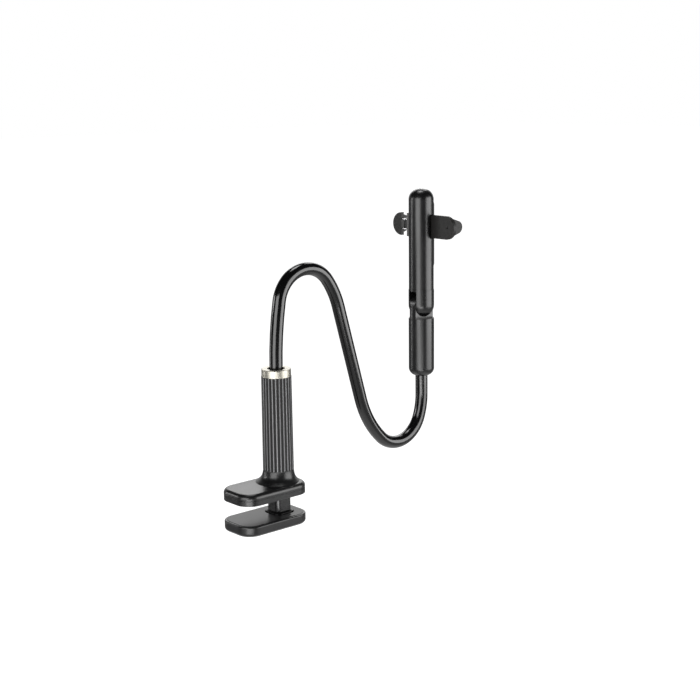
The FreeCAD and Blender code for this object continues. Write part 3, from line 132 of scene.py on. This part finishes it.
# %% [markdown]
# ## The camera
# The photograph shows the back of the head, from a little above the clamp. The eye and the aim
# were found by fitting a pinhole camera to points of the stand. A lens of about 69 mm on a 36 mm
# sensor gives its narrow perspective, and the picture leans by less than a degree.

# %% Camera
eye = Vector((-0.8289, -1.0842, 0.4265))
aim = Vector((0.0772, -0.0510, 0.1527))
lean = math.radians(0.72)
forward = (aim - eye).normalized()
right = forward.cross(Vector((0, 0, 1))).normalized()
right = (right * math.cos(lean) - right.cross(forward) * math.sin(lean)).normalized()
upward = right.cross(forward)
turn = Matrix((right, upward, -forward)).transposed()
clear()
bpy.ops.object.camera_add(location=eye, rotation=turn.to_euler())
camera = bpy.context.object
camera.name = "photo_camera"
camera.data.sensor_width = 36.0
camera.data.lens = 69.2
camera.data.clip_end = 50.0
bpy.context.scene.camera = camera
print("camera", tuple(round(v, 3) for v in eye))

# %% [markdown]
# ## Black plastics
# Almost everything is moulded in black plastic. What tells the pieces apart is how each surface
# takes the light: the jaws and capsules are satin, the grip is drier, the hooks are matt with a
# fine spark texture, and the neck's sheath is glossy. One helper builds such a finish from two
# noises on the piece's own coordinates: a fine one for the moulded grain and a broad one for the
# slight change of sheen.

# %% A helper for moulded finishes
CLOUD_SCALE = 38.0
SHADE_DRIFT = 0.12


def finish(name, colour, rough, grain=1800.0, relief=0.03 * MM, spread=0.06, index=1.45):
    """A procedural plastic: colour and roughness drift, and a fine grain lifts the surface."""
    made = bpy.data.materials.new(name)
    made.use_nodes = True
    tree = made.node_tree
    shader = tree.nodes["Principled BSDF"]
    shader.inputs["IOR"].default_value = index
    place = tree.nodes.new("ShaderNodeTexCoord")
    fine = tree.nodes.new("ShaderNodeTexNoise")
    fine.inputs["Scale"].default_value = grain
    fine.inputs["Detail"].default_value = 2.0
    broad = tree.nodes.new("ShaderNodeTexNoise")
    broad.inputs["Scale"].default_value = CLOUD_SCALE
    broad.inputs["Detail"].default_value = 3.0
    tone = tree.nodes.new("ShaderNodeMapRange")
    tone.inputs["To Min"].default_value = rough - spread
    tone.inputs["To Max"].default_value = rough + spread
    tint = tree.nodes.new("ShaderNodeMix")
    tint.data_type = "RGBA"
    tint.inputs["A"].default_value = (*[c * (1 - SHADE_DRIFT) for c in colour], 1)
    tint.inputs["B"].default_value = (*[c * (1 + SHADE_DRIFT) for c in colour], 1)
    lift = tree.nodes.new("ShaderNodeBump")
    lift.inputs["Strength"].default_value = 0.35
    lift.inputs["Distance"].default_value = relief
    link = tree.links.new
    link(place.outputs["Object"], fine.inputs["Vector"])
    link(place.outputs["Object"], broad.inputs["Vector"])
    link(broad.outputs["Fac"], tone.inputs["Value"])
    link(tone.outputs["Result"], shader.inputs["Roughness"])
    link(broad.outputs["Fac"], tint.inputs["Factor"])
    link(tint.outputs["Result"], shader.inputs["Base Color"])
    link(fine.outputs["Fac"], lift.inputs["Height"])
    link(lift.outputs["Normal"], shader.inputs["Normal"])
    return made


jaw_black = finish("jaw_black", (0.003, 0.003, 0.0032), 0.32, grain=2600)
head_black = finish("head_black", (0.002, 0.002, 0.0022), 0.29, grain=2600, index=1.48)
column_black = finish("column_black", (0.002, 0.002, 0.0022), 0.26, index=1.50)
claw_grey = finish("claw_grey", (0.0055, 0.0050, 0.0047), 0.52, grain=1500, relief=0.08 * MM,
                   index=1.36)
sheath_black = finish("sheath_black", (0.0012, 0.0012, 0.0014), 0.15, grain=900, relief=0.01 * MM,
                      spread=0.03, index=1.48)
pad_satin = finish("pad_satin", (0.012, 0.012, 0.012), 0.29, relief=0.01 * MM,
                   spread=0.03, index=1.24)
rubber_black = finish("rubber_black", (0.014, 0.014, 0.014), 0.62, grain=1200, relief=0.1 * MM,
                      index=1.40)
slip_grey = finish("slip_grey", (0.016, 0.016, 0.016), 0.45)
guide_grey = finish("guide_grey", (0.035, 0.034, 0.033), 0.45)
plastics = ("black", "grey", "satin")
print("finishes:", [m.name for m in bpy.data.materials if m.name.endswith(plastics)])

# %% [markdown]
# ## The fluted grip
# The crests between the flutes are glossier than the grooves, and the lamps catch them as thin
# bright lines. Their colour is lifted too, as a painted highlight. The crests are the places
# farthest from the post's axis. The finish measures that distance from its own coordinates, allows
# for the slight taper of the sleeve, and turns it into a mask for the painted highlight and for
# polish.

# %% A helper for arithmetic
def sum_of(tree, kind, first, second):
    """One arithmetic node. Each side is an output of another node or a number."""
    made = tree.nodes.new("ShaderNodeMath")
    made.operation = kind
    for socket, source in zip(made.inputs, (first, second)):
        if isinstance(source, float):
            socket.default_value = source
        else:
            tree.links.new(source, socket)
    return made.outputs["Value"]


# %% Grip finish
ring_low, ring_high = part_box("grip_ring")
post_x = float(ring_low[0] + ring_high[0]) / 2
sleeve_low, sleeve_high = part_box("grip_sleeve")
sleeve_foot, crest_radius = float(sleeve_low[2]), float(sleeve_high[1])
crest_taper = 0.00549
band_start, band_end = 0.16 * MM, 0.02 * MM
groove_rough, crest_rough, cloud_share = 0.74, 0.26, 0.2

grip_black = finish("grip_black", (0.003, 0.003, 0.0032), 0.36, grain=2200)
tree = grip_black.node_tree
link = tree.links.new
shader = tree.nodes["Principled BSDF"]
split = tree.nodes.new("ShaderNodeSeparateXYZ")
link(tree.nodes["Texture Coordinate"].outputs["Object"], split.inputs["Vector"])
across = sum_of(tree, "POWER", sum_of(tree, "SUBTRACT", split.outputs["X"], post_x), 2.0)
along = sum_of(tree, "POWER", split.outputs["Y"], 2.0)
reach = sum_of(tree, "SQRT", sum_of(tree, "ADD", across, along), 0.0)
height = sum_of(tree, "SUBTRACT", split.outputs["Z"], sleeve_foot)
level = sum_of(tree, "MULTIPLY", height, crest_taper)
crest = tree.nodes.new("ShaderNodeMapRange")
crest.interpolation_type = "SMOOTHSTEP"
crest.inputs["From Min"].default_value = crest_radius - band_start
crest.inputs["From Max"].default_value = crest_radius - band_end
link(sum_of(tree, "ADD", reach, level), crest.inputs["Value"])
# Painted highlight: the crests' colour is lifted to a light grey where the lamps would catch them.
painted_crest_highlight = tree.nodes.new("ShaderNodeMix")
painted_crest_highlight.data_type = "RGBA"
painted_crest_highlight.inputs["B"].default_value = (0.10, 0.10, 0.103, 1)
link(crest.outputs["Result"], painted_crest_highlight.inputs["Factor"])
link(shader.inputs["Base Color"].links[0].from_socket, painted_crest_highlight.inputs["A"])
link(painted_crest_highlight.outputs["Result"], shader.inputs["Base Color"])
polish = tree.nodes.new("ShaderNodeMapRange")
polish.inputs["To Min"].default_value = groove_rough
polish.inputs["To Max"].default_value = crest_rough
link(crest.outputs["Result"], polish.inputs["Value"])
cloud = sum_of(tree, "MULTIPLY", shader.inputs["Roughness"].links[0].from_socket, cloud_share)
link(sum_of(tree, "ADD", polish.outputs["Result"], cloud), shader.inputs["Roughness"])
print("grip crests lighten over", round((band_start - band_end) / MM, 2), "mm")

# %% [markdown]
# ## Metals
# The ring on the grip is turned aluminium with a warm champagne tint. A lathe leaves fine rings,
# so the bump and roughness change quickly along the axis and hardly at all around it. Stretching
# a noise with a Mapping node gives that. The tube, rods and screws are plain steel.

# %% A helper for metals
def metal(name, colour, rough, scale, relief=0.02 * MM, smoother=0.06, rougher=0.10):
    """A metal whose tool marks are a noise, stretched by its scale along X, Y and Z."""
    made = bpy.data.materials.new(name)
    made.use_nodes = True
    tree = made.node_tree
    shader = tree.nodes["Principled BSDF"]
    shader.inputs["Metallic"].default_value = 1.0
    shader.inputs["Base Color"].default_value = (*colour, 1)
    place = tree.nodes.new("ShaderNodeTexCoord")
    stretch = tree.nodes.new("ShaderNodeMapping")
    stretch.inputs["Scale"].default_value = scale
    lines = tree.nodes.new("ShaderNodeTexNoise")
    lines.inputs["Scale"].default_value = 1.0
    lines.inputs["Detail"].default_value = 4.0
    tone = tree.nodes.new("ShaderNodeMapRange")
    tone.inputs["To Min"].default_value = rough - smoother
    tone.inputs["To Max"].default_value = rough + rougher
    lift = tree.nodes.new("ShaderNodeBump")
    lift.inputs["Strength"].default_value = 0.3
    lift.inputs["Distance"].default_value = relief
    link = tree.links.new
    link(place.outputs["Object"], stretch.inputs["Vector"])
    link(stretch.outputs["Vector"], lines.inputs["Vector"])
    link(lines.outputs["Fac"], tone.inputs["Value"])
    link(tone.outputs["Result"], shader.inputs["Roughness"])
    link(lines.outputs["Fac"], lift.inputs["Height"])
    link(lift.outputs["Normal"], shader.inputs["Normal"])
    return made


ring_champagne = metal("ring_champagne", (0.36, 0.345, 0.30), 0.38, (40, 40, 5200))
rod_steel = metal("rod_steel", (0.66, 0.66, 0.67), 0.22, (900, 60, 900))
tube_steel = metal("tube_steel", (0.55, 0.55, 0.56), 0.34, (300, 300, 30))
screw_steel = metal("screw_steel", (0.42, 0.42, 0.43), 0.35, (900, 900, 900))
socket_black = metal("socket_black", (0.05, 0.05, 0.05), 0.35, (60, 60, 2600))
metals = (ring_champagne, rod_steel, tube_steel, screw_steel, socket_black)
print("metals:", [made.name for made in metals])

# %% [markdown]
# ## Dressing the solid parts
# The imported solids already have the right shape, so they keep it and only take a finish. Each
# node has one material slot, and assigning to it changes the look without touching the mesh.

# %% Give each solid its finish
dressed = {
    jaw_black: ["upper_jaw", "lower_jaw"],
    head_black: ["base_end_cap", "joint_base", "fork", "bar_shell", "bar_cover"],
    grip_black: ["grip_sleeve"],
    column_black: ["clamp_column"],
    claw_grey: ["right_arm", "left_claw"],
    slip_grey: ["thread_follower", "slip_washer", "friction_washers"],
    guide_grey: ["slide_guide"],
    ring_champagne: ["grip_ring"],
    rod_steel: ["guide_rods"],
    tube_steel: ["guide_tube"],
    screw_steel: ["column_screws", "follower_screw", "hinge_screw", "cover_screws"],
    socket_black: ["neck_socket"],
}
for material, names in dressed.items():
    for name in names:
        for slot in nodes[name].material_slots:
            slot.material = material
print("dressed", sum(len(names) for names in dressed.values()), "solids")

# %% [markdown]
# ## The flexible neck
# The real neck is a wire-wound core in a glossy sheath, and it keeps whatever curve it is bent
# to. A curve with a bevel would draw it, but a disc that is extruded along the straight runs and
# spun round the bends shows how the route is built: up from the socket, over an arch, down a
# straight slope, through a dip and up into the capsule. The straight slope is cut into short
# steps, because that is where the neck flexes.

# %% Neck: route
neck_foot = Vector((post_x, 0, 107.0 * MM))
neck_radius = 7.0 * MM
rise_top = 135.0 * MM
# Each bend is a radius in millimetres and a turn in degrees.
arch = [(400.0, 10.0), (36.7, 133.0), (94.0, 21.0)]
slope = 111.672 * MM
dip = [(109.0, 31.0), (36.5, 111.5), (72.0, 21.5)]
neck_top = 119.9 * MM
turn_step = 3.5


def run(distance, steps, heading):
    """Extrude the picked end of the neck straight on."""
    way = Vector((math.sin(heading), 0, math.cos(heading))) * (distance / steps)
    for _ in range(steps):
        bpy.ops.mesh.extrude_region_move(TRANSFORM_OT_translate={"value": way})
    return Vector((math.sin(heading), 0, math.cos(heading))) * distance


def bend(point, heading, radius, degrees, side):
    """Spin the picked end round a bend. side is 1 over the arch and -1 through the dip."""
    across = Vector((math.cos(heading), 0, -math.sin(heading))) * (radius * MM * side)
    centre = point + across
    angle = math.radians(degrees) * side
    steps = max(4, round(degrees / turn_step))
    bpy.ops.mesh.spin(steps=steps, angle=-angle, center=centre, axis=(0, 1, 0))
    heading += angle
    across = Vector((math.cos(heading), 0, -math.sin(heading))) * (radius * MM * side)
    return centre - across, heading


# %% Neck: sheath
clear()
bpy.ops.mesh.primitive_circle_add(
    vertices=56, radius=neck_radius, fill_type="NGON", location=neck_foot)
neck = name_new("neck_sheath")
bpy.ops.object.mode_set(mode="EDIT")
bpy.ops.mesh.select_all(action="SELECT")
point, heading = neck_foot + run(rise_top - neck_foot.z, 6, 0.0), 0.0
for radius, degrees in arch:
    point, heading = bend(point, heading, radius, degrees, 1)
slope_start = point
point = slope_end = slope_start + run(slope, 24, heading)
for radius, degrees in dip:
    point, heading = bend(point, heading, radius, degrees, -1)
run(neck_top - point.z, 10, 0.0)
bpy.ops.mesh.select_all(action="SELECT")
bpy.ops.mesh.remove_doubles(threshold=0.00001)
bpy.ops.mesh.normals_make_consistent(inside=False)
bpy.ops.object.mode_set(mode="OBJECT")
smooth(neck, 40)
neck.data.materials.append(sheath_black)
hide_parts("gooseneck")
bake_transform(neck)
print("neck turns up at", [round(v / MM, 1) for v in point], len(neck.data.polygons), "faces")

# %% [markdown]
# ## Rubber pads in the jaws
# Each jaw has a rubber pad let into its face, with a window for the square column. Its smooth
# moulded skin mirrors the white screen of the studio at a low angle, so it looks grey beside the
# black column. A plane with a Solidify modifier would do for a plain sheet. A block keeps the
# thickness in sight: its four upright edges are rounded, a square plug cuts the window, and a
# narrow inset lets the outline drop to a soft edge.

# %% Helpers for blocks
def block(name, low, high):
    """A block between two corners, ready for shaping."""
    clear()
    low, high = Vector(low), Vector(high)
    bpy.ops.mesh.primitive_cube_add(size=1.0, location=(low + high) / 2)
    bpy.context.object.scale = high - low
    return name_new(name)


def round_edges(piece, test, amount, segments):
    """Bevel the edges of a piece that pass a test."""
    clear()
    piece.select_set(True)
    bpy.context.view_layer.objects.active = piece
    bpy.ops.object.mode_set(mode="EDIT")
    count = pick(piece, "edges", test)
    bpy.ops.mesh.bevel(offset=amount, offset_type="OFFSET", segments=segments, affect="EDGES")
    bpy.ops.object.mode_set(mode="OBJECT")
    return count


def runs_along(axis):
    """A test for edges that run along X, Y or Z, given as 0, 1 or 2."""
    return lambda edge: abs(edge_way(edge)[axis]) > 0.99


# %% Jaw pads
pad_corner = 14.75 * MM
soft_edge, edge_drop = 0.5 * MM, 0.35 * MM


def jaw_pad(name, node, body, window, window_corner, side):
    """One jaw pad. side is 1 where its working face looks up and -1 where it looks down."""
    low, high = (Vector(corner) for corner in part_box(node))
    made = block(name, low, high)
    round_edges(made, runs_along(2), pad_corner, 12)
    half, over = window / 2, 1.0 * MM
    plug = block(name + "_plug", (post_x - half, -half, low.z - over),
                 (post_x + half, half, high.z + over))
    round_edges(plug, runs_along(2), window_corner, 6)
    clear()
    made.select_set(True)
    bpy.context.view_layer.objects.active = made
    opening = made.modifiers.new("window", "BOOLEAN")
    opening.operation = "DIFFERENCE"
    opening.solver = "EXACT"
    opening.object = plug
    bpy.ops.object.modifier_apply(modifier="window")
    bpy.data.objects.remove(plug)
    made.data.materials.append(pad_satin)
    bpy.ops.object.mode_set(mode="EDIT")
    pick(made, "faces", lambda face: face.normal.z * side > 0.99)
    bpy.ops.mesh.inset(thickness=soft_edge, depth=0)
    face_level = high.z if side > 0 else low.z
    pick(made, "verts", lambda vert: abs(vert.co.z - face_level) < 0.001 * MM
         and any(abs(face.normal.z) < 0.5 for face in vert.link_faces))
    bpy.ops.transform.translate(value=(0, 0, -edge_drop * side))
    bpy.ops.object.mode_set(mode="OBJECT")
    smooth(made, 30)
    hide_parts(node)
    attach(made, body)
    print(name, "has", len(made.data.polygons), "faces")


jaw_pad("lower_pad", "lower_jaw_pad", "lower_jaw_group", 26.4 * MM, 8.0 * MM, 1)
jaw_pad("upper_pad", "upper_jaw_pad", "clamp", 21.6 * MM, 5.6 * MM, -1)

# %% [markdown]
# ## The cushion on the bar
# The flat front of the bar has a soft pad to lean on. It is a small moulded foam cushion with a
# silicone skin, fullest in the middle and pulled in towards its edges. Four insets, each one
# lifted a little less than the one before, raise that crown out of a rounded block. Together they
# are narrower than the round of the corners, so the mesh doesn't fold over itself there.

# %% Cushion
low, high = (Vector(corner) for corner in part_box("back_cushion"))
cushion_corner = 5.0 * MM
# Each ring of the crown is an inset and a lift, in millimetres.
crown = ((0.6, 0.70), (0.9, 0.50), (1.2, 0.30), (1.5, 0.15))
lift = sum(rise for _, rise in crown) * MM
cushion = block("bar_cushion", low, high - Vector((lift, 0, 0)))
round_edges(cushion, runs_along(0), cushion_corner, 10)
bpy.ops.object.mode_set(mode="EDIT")
pick(cushion, "faces", lambda face: face.normal.x > 0.99)
for inset, rise in crown:
    bpy.ops.mesh.inset(thickness=inset * MM, depth=rise * MM)
bpy.ops.object.mode_set(mode="OBJECT")
smooth(cushion, 60)
cushion.data.materials.append(rubber_black)
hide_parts("back_cushion")
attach(cushion, "bar")

# %% [markdown]
# ## Ribbed pads in the hooks
# A rubber pad in each hook stops what it holds from sliding. Its upright ribs are soft and give a
# little. One rib is shaped from a block, then copied along the base plate. The finished pad is
# copied once more and mirrored for the other hook, and its faces are turned out again.

# %% Left pad
low, high = (Vector(corner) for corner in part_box("left_grip_pad"))
rib_half, rib_tall, rib_round, ribs = 0.7 * MM, 10.4 * MM, 0.4 * MM, 5
base_thick, base_corner = 1.2 * MM, 1.6 * MM
middle_z = (low.z + high.z) / 2
base = block("left_hook_pad", (low.x, high.y - base_thick, low.z), high)
round_edges(base, runs_along(1), base_corner, 5)
step = (high.x - low.x) / (ribs + 1)
rib = block("pad_rib", (low.x + step - rib_half, low.y, middle_z - rib_tall / 2),
            (low.x + step + rib_half, high.y - base_thick / 2, middle_z + rib_tall / 2))
round_edges(rib, lambda edge: edge_middle(edge).y < low.y + 0.1 * MM, rib_round, 4)
bpy.ops.object.mode_set(mode="EDIT")
bpy.ops.mesh.select_all(action="SELECT")
for _ in range(ribs - 1):
    bpy.ops.mesh.duplicate_move(TRANSFORM_OT_translate={"value": (step, 0, 0)})
bpy.ops.object.mode_set(mode="OBJECT")
clear()
rib.select_set(True)
base.select_set(True)
bpy.context.view_layer.objects.active = base
bpy.ops.object.join()
smooth(base, 35)
base.data.materials.append(rubber_black)
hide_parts("left_grip_pad")
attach(base, "left_grip")
print("left hook pad:", ribs, "ribs,", len(base.data.polygons), "faces")

# %% Right pad
clear()
base.select_set(True)
bpy.context.view_layer.objects.active = base
bpy.ops.object.duplicate(linked=False)
twin = bpy.context.object
twin.scale = (1, -1, 1)
twin = name_new("right_hook_pad")
bpy.ops.object.mode_set(mode="EDIT")
bpy.ops.mesh.select_all(action="SELECT")
bpy.ops.mesh.normals_make_consistent(inside=False)
bpy.ops.object.mode_set(mode="OBJECT")
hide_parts("right_grip_pad")
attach(twin, "right_grip")
print("right hook pad mirrored:", [round(v / MM, 2) for v in twin.data.vertices[0].co])

# %% [markdown]
# ## The ground
# The stand hangs from a desk edge, so the ground lies well below it and only a faint shadow
# reaches it. To the camera the ground fades into plain white. In reflections it is bright under
# the stand and dark farther off, like a white table in a dim room. To all other light it is pale
# and matt, so it sends up a soft bounce.

# %% Helpers for node trees
def add(tree, kind, mode=None, values=()):
    """Add a node to a tree, choose its operation and fill in sockets by name or by number."""
    made = tree.nodes.new(kind)
    if mode:
        made.operation = mode
    for socket, value in dict(values).items():
        made.inputs[socket].default_value = value
    return made


def ramp(tree, start, end, first, last):
    """A node that turns a value between start and end into one between first and last."""
    return add(tree, "ShaderNodeMapRange", values={
        "From Min": start, "From Max": end, "To Min": first, "To Max": last})


def ray_kinds(tree):
    """Two outputs: one marks the camera's rays, the other those that a mirror or glass sends on."""
    path = tree.nodes.new("ShaderNodeLightPath")
    kinds = path.outputs
    mirrored = sum_of(tree, "MAXIMUM", kinds["Is Glossy Ray"], kinds["Is Transmission Ray"])
    return kinds["Is Camera Ray"], mirrored


# %% Ground
floor_drop = 0.42
stand_middle = 0.11
floor_level = cad_low[2] - floor_drop
clear()
bpy.ops.mesh.primitive_plane_add(size=40.0, location=(0, 0, floor_level))
floor = name_new("floor")
ground = bpy.data.materials.new("ground_white")
ground.use_nodes = True
tree = ground.node_tree
link = tree.links.new
tree.nodes.remove(tree.nodes["Principled BSDF"])
camera_ray, mirrored_ray = ray_kinds(tree)
matt = add(tree, "ShaderNodeBsdfDiffuse", values={"Color": (0.86, 0.86, 0.86, 1)})
faint = add(tree, "ShaderNodeBsdfDiffuse", values={"Color": (0.30, 0.30, 0.30, 1)})
glow = add(tree, "ShaderNodeEmission", values={"Color": (1, 1, 1, 1)})
place = tree.nodes.new("ShaderNodeTexCoord")
away = add(tree, "ShaderNodeVectorMath", "DISTANCE", {1: (stand_middle, 0, floor_level)})
near = ramp(tree, 0.35, 0.80, 1.0, 0.05)
fade = ramp(tree, 0.6, 2.0, 0.88, 1.0)
link(place.outputs["Object"], away.inputs[0])
link(away.outputs["Value"], near.inputs["Value"])
link(away.outputs["Value"], fade.inputs["Value"])
shown = sum_of(tree, "MAXIMUM", camera_ray, near.outputs["Result"])
link(sum_of(tree, "MULTIPLY", shown, fade.outputs["Result"]), glow.inputs["Strength"])
both = tree.nodes.new("ShaderNodeAddShader")
link(glow.outputs["Emission"], both.inputs[0])
link(faint.outputs["BSDF"], both.inputs[1])
choose = tree.nodes.new("ShaderNodeMixShader")
link(sum_of(tree, "MAXIMUM", camera_ray, mirrored_ray), choose.inputs["Fac"])
link(matt.outputs["BSDF"], choose.inputs[1])
link(both.outputs["Shader"], choose.inputs[2])
link(choose.outputs["Shader"], tree.nodes["Material Output"].inputs["Surface"])
floor.data.materials.append(ground)
floor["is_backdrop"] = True
print("ground", round(floor_drop / MM), "mm below the stand")

# %% [markdown]
# ## The studio round it
# Black plastic shows little more than what it mirrors. So the room is dark, apart from a white
# screen that stands behind the stand, where the camera looks. The flat tops of the jaws mirror
# that screen and turn grey, and the column and the flare stand out as dark shapes in it. The
# camera itself sees white all round.

# %% World
behind = Vector((forward.x, forward.y, 0)).normalized()
world = bpy.data.worlds.new("studio")
bpy.context.scene.world = world
world.use_nodes = True
tree = world.node_tree
link = tree.links.new
back = tree.nodes["Background"]
back.inputs["Color"].default_value = (1, 1, 1, 1)
camera_ray, mirrored_ray = ray_kinds(tree)
way = tree.nodes.new("ShaderNodeTexCoord")
toward = add(tree, "ShaderNodeVectorMath", "DOT_PRODUCT", {1: behind})
screen = ramp(tree, 0.62, 0.86, 0.03, 1.0)
room = add(tree, "ShaderNodeMix", values={"A": 0.30})
link(way.outputs["Generated"], toward.inputs[0])
link(toward.outputs["Value"], screen.inputs["Value"])
link(mirrored_ray, room.inputs["Factor"])
link(screen.outputs["Result"], room.inputs["B"])
link(sum_of(tree, "MAXIMUM", camera_ray, room.outputs["Result"]), back.inputs["Strength"])
print("screen behind the stand towards", tuple(round(v, 2) for v in behind))

# %% [markdown]
# ## Softboxes
# Each lamp is there for one set of highlights. The left and right boxes draw the long bands down
# the bar, the capsule and the neck, and the rim box edges their left sides. The back, top and
# over boxes light what looks up: the jaws, the arch of the neck and the dome of the bar. The
# crown box draws the streak along the rounded front of the upper jaw, and the low box lights the
# upright corners of the jaws and the column.

# %% Lamps
def softbox(name, place, target, width, height, power):
    """An oblong area lamp that faces a target. Sizes are in metres and the power in watts."""
    clear()
    way = (Vector(target) - Vector(place)).to_track_quat("-Z", "Y")
    bpy.ops.object.light_add(type="AREA", location=place, rotation=way.to_euler())
    lamp = bpy.context.object
    lamp.name = name
    lamp.data.shape = "RECTANGLE"
    lamp.data.size = width
    lamp.data.size_y = height
    lamp.data.energy = power


middle = (stand_middle, 0, 0.14)
softbox("left_softbox", (-1.50, -0.45, 0.22), middle, 1.35, 1.10, 26)
softbox("right_softbox", (1.00, -1.34, 0.22), middle, 1.60, 1.10, 33)
softbox("rim_softbox", (-0.80, 1.35, 0.12), middle, 0.22, 0.90, 3.4)
softbox("back_softbox", (1.15, 1.25, 1.00), middle, 1.30, 0.80, 9)
softbox("top_softbox", (0.25, 0.20, 1.55), middle, 0.55, 0.55, 7)
softbox("over_softbox", (1.10, 0.40, 1.40), middle, 0.40, 0.40, 2)
softbox("crown_softbox", (-0.97, 1.08, 0.37), (0, 0, 0), 0.35, 0.25, 2.4)
softbox("low_softbox", (-0.745, -0.81, -0.32), (0, 0, -0.01), 0.90, 0.24, 6.8)

# %% [markdown]
# ## Last steps
# The plain Standard view keeps the colours as they were set. The box of the dressed stand is
# printed, as the box of the imported model was at the start.

# %% Finish
bpy.context.scene.view_settings.view_transform = "Standard"
low, high = (list(map(float, corner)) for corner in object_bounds())
print("visual box:", low, high)
